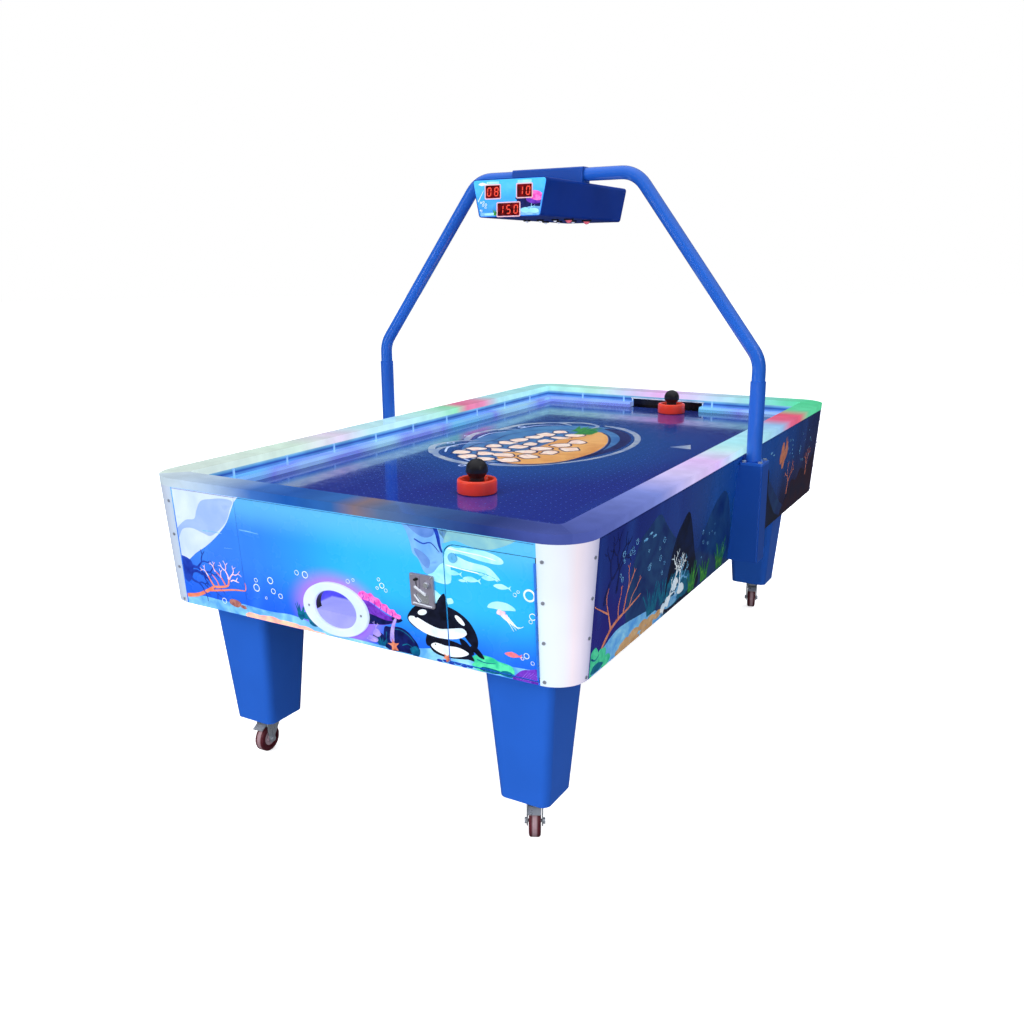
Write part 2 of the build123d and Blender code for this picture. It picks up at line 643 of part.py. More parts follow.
with BuildPart() as coin_return_flap:
    with BuildSketch(coin_plane(0.0, (FLAP_TOP + FLAP_LOW) / 2, FLAP_OUT - FLAP_THICK / 2)):
        Rectangle(RETURN_W - 1.6, FLAP_TOP - FLAP_LOW)
    extrude(amount=FLAP_THICK)
    with BuildSketch(flap_pin_plane(-RETURN_W / 2 - FLAP_PIN_END)):
        Circle(FLAP_PIN_R)
    extrude(amount=RETURN_W + 2 * FLAP_PIN_END)
finish(coin_return_flap, "coin_return_flap")

with BuildPart() as coin_mechanism:
    with BuildSketch(coin_plane(0.0, 14.0, -MECHANISM_BACK)):
        Rectangle(48.0, 36.0)
    extrude(amount=-58.0)
    with BuildSketch(coin_plane(*SLOT_AT, -MECHANISM_BACK)):
        Rectangle(SLOT_W, SLOT_H)
    extrude(amount=-50.0, mode=Mode.SUBTRACT)
    with BuildSketch(coin_plane(0.0, -17.5, 0.0)):
        Rectangle(RETURN_W + 12.0, RETURN_H + 5.0)
    extrude(amount=-44.0)
    with BuildSketch(coin_plane(0.0, -17.5, 1.0)):
        Rectangle(RETURN_W + 6.0, RETURN_H + 1.0)
    extrude(amount=-42.0, mode=Mode.SUBTRACT)
finish(coin_mechanism, "coin_mechanism")

with BuildPart() as cash_box:
    with BuildSketch(Plane.XY.offset(FLOOR_Z)):
        with Locations(CASH_AT):
            Rectangle(CASH_W, CASH_L)
    extrude(amount=CASH_H)
    with BuildSketch(Plane.XY.offset(FLOOR_Z + CASH_SHEET)):
        with Locations(CASH_AT):
            Rectangle(CASH_W - 2 * CASH_SHEET, CASH_L - 2 * CASH_SHEET)
    extrude(amount=CASH_H, mode=Mode.SUBTRACT)
finish(cash_box, "cash_box")

# ================= service door =================
with BuildPart() as service_door:
    with BuildSketch(end_plane(-1)):
        with Locations(((DOOR_LEFT + DOOR_RIGHT) / 2, (DOOR_LOW + DOOR_HIGH) / 2)):
            slab = Rectangle(DOOR_RIGHT - DOOR_LEFT, DOOR_HIGH - DOOR_LOW)
        fillet(slab.vertices().group_by(Axis.X)[0].sort_by(Axis.Z)[-1:], DOOR_CORNER)
    extrude(amount=-PANEL)
    with BuildSketch(end_plane(-1, *LOCK_AT, 1.0)):
        Circle(LOCK_R + RUNNING_FIT)
    extrude(amount=-PANEL - 4.0, mode=Mode.SUBTRACT)
finish(service_door, "service_door")

with BuildPart() as door_lock:
    with BuildSketch(end_plane(-1, *LOCK_AT, 0.4)):
        Circle(LOCK_R + 2.0)
    extrude(amount=3.0)
    with BuildSketch(end_plane(-1, *LOCK_AT, 0.4)):
        Circle(LOCK_R)
    extrude(amount=-PANEL - 2.0)
    with BuildSketch(end_plane(-1, LOCK_AT[0], LOCK_AT[1] - 16.0, -PANEL - 1.0)):
        Rectangle(14.0, 46.0)
    extrude(amount=-3.0)
    with BuildSketch(end_plane(-1, *LOCK_AT, 3.4)):
        Rectangle(1.6, 7.0)
    extrude(amount=-2.0, mode=Mode.SUBTRACT)
finish(door_lock, "door_lock")


def hinge_knuckles(parity, length):
    """Every other knuckle of the piano hinge, along the tilted hinge line."""
    for knuckle in range(parity, KNUCKLES, 2):
        foot = end_plane(-1, HINGE_X, HINGE_LOW + KNUCKLE_PITCH * knuckle + 0.5, HINGE_OUT)
        with BuildSketch(Plane(foot.origin, x_dir=foot.x_dir, z_dir=foot.y_dir)) as ring:
            Circle(KNUCKLE_R)
            if parity:
                Circle(HINGE_PIN_R + RUNNING_FIT, mode=Mode.SUBTRACT)
        extrude(ring.sketch, amount=length)


with BuildPart() as door_hinge:
    hinge_knuckles(0, KNUCKLE_PITCH - 1.0)
    pin_foot = end_plane(-1, HINGE_X, HINGE_LOW, HINGE_OUT)
    with BuildSketch(Plane(pin_foot.origin, x_dir=pin_foot.x_dir, z_dir=pin_foot.y_dir)):
        Circle(HINGE_PIN_R)
    extrude(amount=KNUCKLE_PITCH * KNUCKLES)
    for knuckle in range(0, KNUCKLES, 2):
        with BuildSketch(end_plane(-1, FLAT_X - LEAF / 2, HINGE_LOW + KNUCKLE_PITCH * (knuckle + 0.5),
                                   -LEAF_DEEP)):
            Rectangle(LEAF, KNUCKLE_PITCH - 1.0)
        extrude(amount=LEAF_DEEP + HINGE_OUT - 0.5)
finish(door_hinge, "door_hinge")

with BuildPart() as door_hinge_leaf:
    hinge_knuckles(1, KNUCKLE_PITCH - 1.0)
    for knuckle in range(1, KNUCKLES, 2):
        with BuildSketch(end_plane(-1, DOOR_RIGHT + LEAF / 2, HINGE_LOW + KNUCKLE_PITCH * (knuckle + 0.5),
                                   -LEAF_DEEP)):
            Rectangle(LEAF, KNUCKLE_PITCH - 1.0)
        extrude(amount=LEAF_DEEP + HINGE_OUT - HINGE_PIN_R - 0.3)
finish(door_hinge_leaf, "door_hinge_leaf")

# ================= power inlet =================
def inlet_plane(x=0.0, y=0.0, out=0.0):
    return end_plane(1, INLET_AT[0] + x, INLET_AT[1] + y, out)


with BuildPart() as power_inlet:
    with BuildSketch(inlet_plane()):
        RectangleRounded(INLET_W + 20.0, INLET_H + 6.0, 4.0)
    extrude(amount=3.0)
    with BuildSketch(inlet_plane(0.0, 0.0, -PANEL - 12.0)):
        Rectangle(INLET_W, INLET_H)
    extrude(amount=PANEL + 12.0)
    with BuildSketch(inlet_plane(*SOCKET_AT, -PANEL)):
        Rectangle(24.0, 17.0)
    extrude(amount=PANEL + 4.0, mode=Mode.SUBTRACT)
    with BuildSketch(inlet_plane(*SOCKET_AT, -PANEL)):
        with Locations((-7.0, -1.5), (0.0, 2.5), (7.0, -1.5)):
            Rectangle(2.0, 5.0)
    extrude(amount=12.0)
    with BuildSketch(inlet_plane(*ROCKER_AT, -10.0)):
        Rectangle(ROCKER_W + 1.6, ROCKER_H + 1.6)
    extrude(amount=14.0, mode=Mode.SUBTRACT)
    with BuildSketch(inlet_plane(*SOCKET_AT, 0.0)):
        with Locations((-19.0, 2.0), (19.0, 2.0)):
            Circle(2.2)
    extrude(amount=4.0, mode=Mode.SUBTRACT)
finish(power_inlet, "power_inlet")

with BuildPart() as power_rocker:
    middle = inlet_plane(*ROCKER_AT, -1.0)
    upright = Plane(middle.origin, x_dir=middle.y_dir, z_dir=middle.x_dir)
    with BuildSketch(upright.rotated((0, 0, ROCKER_REST))):
        with BuildLine():
            Polyline((-5.4, 2.0), (0.0, 3.2), (5.4, 2.0), (4.2, -4.0), (-4.2, -4.0), close=True)
        make_face()
    extrude(amount=ROCKER_W / 2, both=True)
finish(power_rocker, "power_rocker")

# ================= legs and castors =================
LEG_CORNERS = {"front_left": (-1, -1), "front_right": (1, -1), "rear_left": (-1, 1),
               "rear_right": (1, 1)}


def leg_half(z):
    share = (z - LEG_FOOT_Z) / (CABINET_BOTTOM - LEG_FOOT_Z)
    return LEG_FOOT_HALF + (LEG_TOP_HALF - LEG_FOOT_HALF) * share


def leg_section(x, y, z, inset):
    """One rounded-square section of a leg, as a face."""
    with BuildSketch(Plane((x, y, z)), mode=Mode.PRIVATE) as section:
        half = leg_half(z) - inset
        RectangleRounded(2 * half, 2 * half, LEG_EDGE - inset)
    return section.sketch


with BuildPart() as legs:
    for sx, sy in LEG_CORNERS.values():
        leg_x, leg_y = sx * LEG_X, sy * LEG_Y
        loft([leg_section(leg_x, leg_y, LEG_FOOT_Z, 0), leg_section(leg_x, leg_y, CABINET_BOTTOM, 0)],
             ruled=True)
    for sx, sy in LEG_CORNERS.values():
        leg_x, leg_y = sx * LEG_X, sy * LEG_Y
        loft([leg_section(leg_x, leg_y, LEG_FOOT_Z + 6.0, LEG_SHEET),
              leg_section(leg_x, leg_y, CABINET_BOTTOM, LEG_SHEET)], ruled=True, mode=Mode.SUBTRACT)
finish(legs, "legs")

with BuildPart() as castor_plates:
    for sx, sy in LEG_CORNERS.values():
        with BuildSketch(Plane((sx * LEG_X, sy * LEG_Y, LEG_FOOT_Z))):
            RectangleRounded(CASTOR_PLATE, CASTOR_PLATE, 6.0)
        extrude(amount=-CASTOR_PLATE_THICK)
        with BuildSketch(Plane((sx * LEG_X, sy * LEG_Y, LEG_FOOT_Z - CASTOR_PLATE_THICK))):
            Circle(RACE_R)
        extrude(amount=RACE_LOW - LEG_FOOT_Z + CASTOR_PLATE_THICK)
        with BuildSketch(Plane((sx * LEG_X, sy * LEG_Y, LEG_FOOT_Z - CASTOR_PLATE_THICK))):
            with GridLocations(PLATE_BOLT_PITCH, PLATE_BOLT_PITCH, 2, 2):
                RegularPolygon(6.5, 6)
        extrude(amount=-5.0)
        with BuildSketch(Plane((sx * LEG_X, sy * LEG_Y, RACE_LOW))):
            Circle(KINGPIN_R + RUNNING_FIT)
        extrude(amount=10.0, mode=Mode.SUBTRACT)
finish(castor_plates, "castor_plates")

for place, (sx, sy) in LEG_CORNERS.items():
    # Local x of these planes is the axle's direction, and "out" is the way the wheel trails.
    turn = math.radians(CASTOR_YAW[place])
    out = Vector(math.sin(turn), -math.cos(turn), 0)
    axle_dir = Vector(-math.cos(turn), -math.sin(turn), 0)
    leg_x, leg_y = sx * LEG_X, sy * LEG_Y

    with BuildPart() as castor_fork:
        with BuildSketch(Plane((leg_x, leg_y, CROWN_LOW), x_dir=axle_dir)):
            with Locations((0, 6.0)):
                RectangleRounded(2 * (CHEEK_IN + CHEEK), 56.0, 8.0)
        extrude(amount=CROWN_HIGH - CROWN_LOW)
        for cheek_side in SIDES:
            cheek_at = CHEEK_IN if cheek_side > 0 else -CHEEK_IN - CHEEK
            cheek_from = Vector(leg_x, leg_y, 0) + axle_dir * cheek_at
            with BuildSketch(Plane(cheek_from, x_dir=out, z_dir=axle_dir)):
                with BuildLine():
                    Polyline((-18.0, CROWN_HIGH), (-18.0, CROWN_LOW), (TRAIL - 11.0, WHEEL_R + 6.0),
                             (TRAIL - 11.0, WHEEL_R - 6.0), (TRAIL - 6.0, WHEEL_R - 11.0),
                             (TRAIL + 6.0, WHEEL_R - 11.0), (TRAIL + 11.0, WHEEL_R - 6.0),
                             (36.0, 70.0), (37.0, 88.0), (28.0, CROWN_HIGH), close=True)
                make_face()
            extrude(amount=CHEEK)
        axle_from = Vector(leg_x, leg_y, WHEEL_R) + out * TRAIL - axle_dir * (CHEEK_IN + CHEEK)
        with BuildSketch(Plane(axle_from, x_dir=out, z_dir=axle_dir)):
            Circle(AXLE_R)
        extrude(amount=2 * (CHEEK_IN + CHEEK))
        for head_side in SIDES:
            nut_at = (Vector(leg_x, leg_y, WHEEL_R) + out * TRAIL
                      + axle_dir * head_side * (CHEEK_IN + CHEEK))
            with BuildSketch(Plane(nut_at, x_dir=out, z_dir=axle_dir * head_side)):
                RegularPolygon(7.5, 6)
            extrude(amount=5.0)
        with BuildSketch(Plane((leg_x, leg_y, CROWN_HIGH))):
            Circle(KINGPIN_R)
        extrude(amount=LEG_FOOT_Z - CASTOR_PLATE_THICK - CROWN_HIGH)
        with BuildSketch(Plane((leg_x, leg_y, CROWN_HIGH))):
            Circle(RACE_R - 3.0)
        extrude(amount=RACE_LOW - CROWN_HIGH - 0.3)
        pedal_axis = (Vector(leg_x, leg_y, PEDAL_PIVOT_Z) + out * PEDAL_PIVOT_OUT
                      - axle_dir * (CHEEK_IN + CHEEK + 1.0))
        with BuildSketch(Plane(pedal_axis, x_dir=out, z_dir=axle_dir)):
            Circle(PEDAL_PIN_R + RUNNING_FIT)
        extrude(amount=2 * (CHEEK_IN + CHEEK + 1.0), mode=Mode.SUBTRACT)
        slot_from = Vector(leg_x, leg_y, 0) - axle_dir * CHEEK_IN
        with BuildSketch(Plane(slot_from, x_dir=out, z_dir=axle_dir)):
            with BuildLine():
                Polyline((12.0, CROWN_LOW - 1.0), (12.0, 89.0), (40.0, 89.0), (40.0, CROWN_LOW - 1.0),
                         close=True)
            make_face()
        extrude(amount=2 * CHEEK_IN, mode=Mode.SUBTRACT)
    finish(castor_fork, f"castor_fork_{place}")

    with BuildPart() as castor_wheel:
        hub = Vector(leg_x, leg_y, WHEEL_R) + out * TRAIL
        with BuildSketch(Plane(hub, x_dir=out, z_dir=axle_dir)):
            Circle(WHEEL_R)
        extrude(amount=WHEEL_HALF, both=True)
        rims = castor_wheel.edges().filter_by(GeomType.CIRCLE)
        fillet(rims, 6.0)
        for face_side in SIDES:
            face_at = hub + axle_dir * face_side * WHEEL_HALF
            with BuildSketch(Plane(face_at, x_dir=out, z_dir=axle_dir * face_side)):
                Circle(26.0)
                Circle(11.0, mode=Mode.SUBTRACT)
            extrude(amount=-4.0, mode=Mode.SUBTRACT)
        with BuildSketch(Plane(hub, x_dir=out, z_dir=axle_dir)):
            Circle(AXLE_R + RUNNING_FIT)
        extrude(amount=WHEEL_HALF, both=True, mode=Mode.SUBTRACT)
    finish(castor_wheel, f"castor_wheel_{place}")

    with BuildPart() as castor_pedal:
        pedal_from = Vector(leg_x, leg_y, 0) - axle_dir * (CHEEK_IN - 1.0)
        with BuildSketch(Plane(pedal_from, x_dir=out, z_dir=axle_dir)):
            with BuildLine():
                Polyline((PEDAL_PIVOT_OUT - PEDAL_BOSS_R, PEDAL_PIVOT_Z), (PEDAL_PIVOT_OUT - 3.0, 85.5),
                         (44.0, 84.0), (58.0, 76.0), (57.0, 73.5), (43.0, 80.8),
                         (PEDAL_PIVOT_OUT + PEDAL_BOSS_R, PEDAL_PIVOT_Z), close=True)
            make_face()
            with Locations((PEDAL_PIVOT_OUT, PEDAL_PIVOT_Z)):
                Circle(PEDAL_BOSS_R)
        extrude(amount=2 * (CHEEK_IN - 1.0))
        pin_from = (Vector(leg_x, leg_y, PEDAL_PIVOT_Z) + out * PEDAL_PIVOT_OUT
                    - axle_dir * (CHEEK_IN + CHEEK - 0.4))
        with BuildSketch(Plane(pin_from, x_dir=out, z_dir=axle_dir)):
            Circle(PEDAL_PIN_R)
        extrude(amount=2 * (CHEEK_IN + CHEEK - 0.4))
    finish(castor_pedal, f"castor_pedal_{place}")

# ================= arch =================
with BuildPart() as post_boxes:
    inner_low = FLAT_X + radius_at(BOX_BOTTOM)
    inner_high = FLAT_X + radius_at(BOX_TOP)
    with BuildSketch(Plane.XZ.offset(-BOX_HALF)):
        with BuildLine():
            Polyline((inner_low, BOX_BOTTOM), (inner_high, BOX_TOP), (BOX_OUT, BOX_TOP),
                     (BOX_OUT, BOX_BOTTOM), close=True)
        make_face()
        mirror(about=Plane.YZ)
    extrude(amount=2 * BOX_HALF)
    fillet(post_boxes.edges().filter_by(Axis.Z), 5.0)
    with BuildSketch(Plane.XZ.offset(-BOX_HALF + LEG_SHEET)):
        with BuildLine():
            Polyline((inner_low - 5.0, BOX_BOTTOM + LEG_SHEET), (inner_high, BOX_TOP - 5.0),
                     (BOX_OUT - LEG_SHEET, BOX_TOP - 5.0), (BOX_OUT - LEG_SHEET, BOX_BOTTOM + LEG_SHEET),
                     close=True)
        make_face()
        mirror(about=Plane.YZ)
    extrude(amount=2 * (BOX_HALF - LEG_SHEET), mode=Mode.SUBTRACT)
finish(post_boxes, "post_boxes")

with BuildPart() as post_sleeves:
    for side in SIDES:
        with BuildSketch(Plane((side * FLANGE_X, 0, BOX_TOP))):
            RectangleRounded(2 * FLANGE_HALF, 2 * BOX_HALF, 5.0)
            with GridLocations(*BOLT_GRID):
                Circle(BOLT_R, mode=Mode.SUBTRACT)
        extrude(amount=FLANGE_THICK)
        with BuildSketch(Plane((side * ARCH_X, 0, BOX_TOP))):
            Circle(SLEEVE_R)
        extrude(amount=SLEEVE_TOP - BOX_TOP)
        with BuildSketch(Plane((side * ARCH_X, 0, BOX_TOP + FLANGE_THICK))):
            Circle(TUBE_R)
        extrude(amount=SLEEVE_TOP, mode=Mode.SUBTRACT)
finish(post_sleeves, "post_sleeves")

with BuildPart() as arch_tube:
    with BuildLine():
        FilletPolyline((-ARCH_X, 0, ARCH_FOOT_Z), (-ARCH_X, 0, ARCH_KNEE_Z), (-ARCH_TOP_X, 0, ARCH_TOP_Z),
                       (ARCH_TOP_X, 0, ARCH_TOP_Z), (ARCH_X, 0, ARCH_KNEE_Z), (ARCH_X, 0, ARCH_FOOT_Z),
                       radius=ARCH_BEND)
    with BuildSketch(Plane((-ARCH_X, 0, ARCH_FOOT_Z))):
        Circle(TUBE_R)
        Circle(TUBE_R - TUBE_WALL, mode=Mode.SUBTRACT)
    sweep()
finish(arch_tube, "arch_tube")

with BuildPart() as post_bolts:
    for side in SIDES:
        with BuildSketch(Plane((side * FLANGE_X, 0, BOX_TOP + FLANGE_THICK))):
            with GridLocations(*BOLT_GRID):
                RegularPolygon(BOLT_HEAD_R, 6)
        extrude(amount=BOLT_HEAD)
        with BuildSketch(Plane((side * FLANGE_X, 0, BOX_TOP))):
            with GridLocations(*BOLT_GRID):
                Circle(BOLT_R)
        extrude(amount=FLANGE_THICK)
finish(post_bolts, "post_bolts")

# ================= scoreboard =================
def board_outline(inset):
    """Trapezoid section of the score housing, moved inwards by inset."""
    return [(-BOARD_TOP_X + inset, BOARD_TOP - inset), (BOARD_TOP_X - inset, BOARD_TOP - inset),
            (BOARD_LOW_X - inset, BOARD_LOW + inset), (-BOARD_LOW_X + inset, BOARD_LOW + inset)]


with BuildPart() as scoreboard_housing:
    with BuildSketch(Plane.XZ.offset(-BOARD_HALF_Y)):
        with BuildLine():
            Polyline(*board_outline(0), close=True)
        make_face()
    extrude(amount=2 * BOARD_HALF_Y)
    fillet(scoreboard_housing.edges().filter_by(Axis.Y), 9.0)
    with BuildSketch(Plane.XZ.offset(-BOARD_HALF_Y)) as hollow:
        with BuildLine():
            Polyline(*board_outline(SHEET_METAL), close=True)
        make_face()
        fillet(hollow.vertices(), 7.0)
    extrude(amount=2 * BOARD_HALF_Y, mode=Mode.SUBTRACT)
finish(scoreboard_housing, "scoreboard_housing")


with BuildPart() as score_faces:
    for end in SIDES:
        # Local x runs to each player's right and local y is up.
        with BuildSketch(Plane((0, end * (BOARD_HALF_Y - FACE_THICK), 0), x_dir=(-end, 0, 0),
                               z_dir=(0, end, 0))) as face:
            with BuildLine():
                Polyline(*board_outline(SHEET_METAL + 0.2), close=True)
            make_face()
            fillet(face.vertices(), 7.0)
            for x, z, width, height in DISPLAYS:
                with Locations((x, z)):
                    RectangleRounded(width, height, 3.0, mode=Mode.SUBTRACT)
        extrude(amount=FACE_THICK)
finish(score_faces, "score_faces")

with BuildPart() as score_displays:
    for end in SIDES:
        with BuildSketch(Plane((0, end * (BOARD_HALF_Y - DISPLAY_DEEP), 0), x_dir=(-end, 0, 0),
                               z_dir=(0, end, 0))):
            for x, z, width, height in DISPLAYS:
                with Locations((x, z)):
                    RectangleRounded(width, height, 3.0)
        extrude(amount=DISPLAY_DEEP + DISPLAY_PROUD)
finish(score_displays, "score_displays")

with BuildPart() as scoreboard_saddle:
    saddle_left, saddle_right, saddle_half, saddle_top = SADDLE
    with BuildSketch(Plane.YZ.offset(saddle_left)):
        with Locations((0, (BOARD_TOP + saddle_top) / 2)):
            Rectangle(2 * saddle_half, saddle_top - BOARD_TOP)
        with Locations((0, ARCH_TOP_Z)):
            Circle(TUBE_R, mode=Mode.SUBTRACT)
    extrude(amount=saddle_right - saddle_left)
    fillet(scoreboard_saddle.edges().filter_by(Axis.X).group_by(Axis.Z)[-1], 8.0)
finish(scoreboard_saddle, "scoreboard_saddle")

with BuildPart() as scoreboard_lamps:
    for end in SIDES:
        for x, lamp_r in LAMPS:
            with BuildSketch(Plane((x, end * LAMP_Y, BOARD_LOW))):
                Circle(lamp_r)
            extrude(amount=-LAMP_BASE)
            with BuildSketch(Plane((x, end * LAMP_Y, BOARD_LOW - LAMP_BASE), x_dir=(1, 0, 0),
                                   z_dir=(0, -1, 0))):
                Circle(lamp_r - 1.5)
                with Locations((-lamp_r, 0)):
                    Rectangle(2 * lamp_r, 2 * lamp_r, mode=Mode.SUBTRACT)
                with Locations((0, lamp_r)):
                    Rectangle(2 * lamp_r, 2 * lamp_r, mode=Mode.SUBTRACT)
            revolve(axis=Axis((x, end * LAMP_Y, BOARD_LOW), (0, 0, 1)))
finish(scoreboard_lamps, "scoreboard_lamps")

# ================= electronics =================
with BuildPart() as control_board:
    with BuildSketch(Plane((*BOARD_AT, FLOOR_Z))):
        Rectangle(220.0, 160.0)
    extrude(amount=BOARD_THICK)
    with BuildSketch(Plane((*BOARD_AT, FLOOR_Z + BOARD_THICK))):
        with GridLocations(70.0, 55.0, 3, 2):
            Rectangle(34.0, 24.0)
    extrude(amount=14.0)
finish(control_board, "control_board")

with BuildPart() as speaker:
    with BuildSketch(Plane((*SPEAKER_AT, FLOOR_Z))):
        Circle(55.0)
    extrude(amount=SPEAKER_FLANGE)
    with BuildSketch(Plane((*SPEAKER_AT, FLOOR_Z + SPEAKER_FLANGE))):
        Circle(40.0)
    extrude(amount=30.0, taper=20.0)
finish(speaker, "speaker")

# ================= mallets and puck =================
for place, (mallet_x, mallet_y) in MALLETS.items():
    with BuildPart() as mallet_base:
        with BuildSketch(Plane((mallet_x, mallet_y, 0), x_dir=(1, 0, 0), z_dir=(0, -1, 0))):
            with BuildLine():
                Polyline((0, PLAY_Z), (MALLET_R - 4.0, PLAY_Z), (MALLET_R, PLAY_Z + 4.0),
                         (MALLET_R, PLAY_Z + MALLET_H - 6.0), (MALLET_R - 5.0, PLAY_Z + MALLET_H),
                         (MALLET_R - 9.0, PLAY_Z + MALLET_H), (MALLET_R - 13.0, PLAY_Z + MALLET_FLOOR),
                         (0, PLAY_Z + MALLET_FLOOR), close=True)
            make_face()
        revolve(axis=Axis((mallet_x, mallet_y, 0), (0, 0, 1)))
    finish(mallet_base, f"mallet_base_{place}")

    with BuildPart() as mallet_knob:
        with BuildSketch(Plane((mallet_x, mallet_y, 0), x_dir=(1, 0, 0), z_dir=(0, -1, 0))):
            with BuildLine():
                Polyline((0, PLAY_Z + KNOB_TOP), (0, PLAY_Z + MALLET_FLOOR), (22.0, PLAY_Z + MALLET_FLOOR),
                         (19.0, PLAY_Z + 40.0), (KNOB_R, PLAY_Z + KNOB_TOP - KNOB_R - 6.0),
                         (KNOB_R, PLAY_Z + KNOB_TOP - KNOB_R))
                ThreePointArc((KNOB_R, PLAY_Z + KNOB_TOP - KNOB_R),
                              (KNOB_R * math.sin(math.pi / 4),
                               PLAY_Z + KNOB_TOP - KNOB_R * (1 - math.cos(math.pi / 4))),
                              (0, PLAY_Z + KNOB_TOP))
            make_face()
        revolve(axis=Axis((mallet_x, mallet_y, 0), (0, 0, 1)))
    finish(mallet_knob, f"mallet_knob_{place}")

with BuildPart() as puck:
    with BuildSketch(Plane((-PORT_X, PUCK_Y, SHELF_Z + 0.3))):
        Circle(PUCK_R)
    extrude(amount=PUCK_THICK)
    chamfer(puck.edges().filter_by(GeomType.CIRCLE), 0.8)
finish(puck, "puck")
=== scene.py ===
"""Looks of an arcade air hockey table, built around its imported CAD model.

Everything is in metres in the CAD's frame. The printed scenes are drawn in millimetres on planes
that lie on the panels, as very thin closed layers of ink, so that each colour has a crisp edge.
"""
import json
import math
import random

import bmesh
import bpy
from mathutils import Matrix, Vector


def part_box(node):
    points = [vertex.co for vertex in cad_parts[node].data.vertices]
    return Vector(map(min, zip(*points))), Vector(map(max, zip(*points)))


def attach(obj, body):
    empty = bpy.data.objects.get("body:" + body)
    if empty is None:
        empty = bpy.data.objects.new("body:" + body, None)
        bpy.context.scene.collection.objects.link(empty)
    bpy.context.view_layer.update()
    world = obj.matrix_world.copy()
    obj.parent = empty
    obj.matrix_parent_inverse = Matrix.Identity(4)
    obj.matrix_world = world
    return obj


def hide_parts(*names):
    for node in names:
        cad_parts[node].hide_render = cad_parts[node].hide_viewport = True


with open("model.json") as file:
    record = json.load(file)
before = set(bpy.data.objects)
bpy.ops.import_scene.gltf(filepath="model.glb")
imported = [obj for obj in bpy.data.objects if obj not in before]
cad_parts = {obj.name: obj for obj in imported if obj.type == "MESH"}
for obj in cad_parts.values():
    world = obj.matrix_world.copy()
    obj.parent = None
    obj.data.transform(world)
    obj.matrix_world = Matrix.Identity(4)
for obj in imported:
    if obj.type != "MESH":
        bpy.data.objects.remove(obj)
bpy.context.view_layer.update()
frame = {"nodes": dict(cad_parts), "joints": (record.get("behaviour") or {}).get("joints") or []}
NODES = frame["nodes"]
SCENE = bpy.context.scene
MM = 0.001

PANEL_TILT = math.atan(23.0 / 337.0)   # the four panels flare outwards
CORNER_X, CORNER_Y = 0.522, 0.983      # axes of the rounded corners
PANEL_FOOT_R = 0.0745                  # from those axes to the panels' outer faces, at the foot
PANEL_FOOT_Z = 0.463                   # foot of the panels
PRINT_DEPTH = 0.0012                   # how far in from the outer face a panel shows its print
RAIL_HALF_X, RAIL_HALF_Y = 0.62, 1.08  # the rails' tones run between these
INK = 0.25                             # thickness of a printed layer, mm
PLACES = ("front_left", "front_right", "rear_left", "rear_right")


def rgb(red, green, blue):
    """A colour of 0 to 255 in sRGB as Blender's linear one."""
    parts = [c / 255 for c in (red, green, blue)]
    return (*(c / 12.92 if c <= 0.04045 else ((c + 0.055) / 1.055) ** 2.4 for c in parts), 1.0)


# ---------------------------------------------------------------- materials

SOCKETS = {
    "colour": "Base Color", "metal": "Metallic", "rough": "Roughness", "normal": "Normal",
    "coat": "Coat Weight", "coat_rough": "Coat Roughness", "specular": "Specular IOR Level",
    "glow": "Emission Color", "power": "Emission Strength", "subsurface": "Subsurface Weight",
}
MIX_SHARE, MIX_FIRST, MIX_SECOND, MIX_RESULT = 0, 6, 7, 2   # the Mix node's sockets for colours


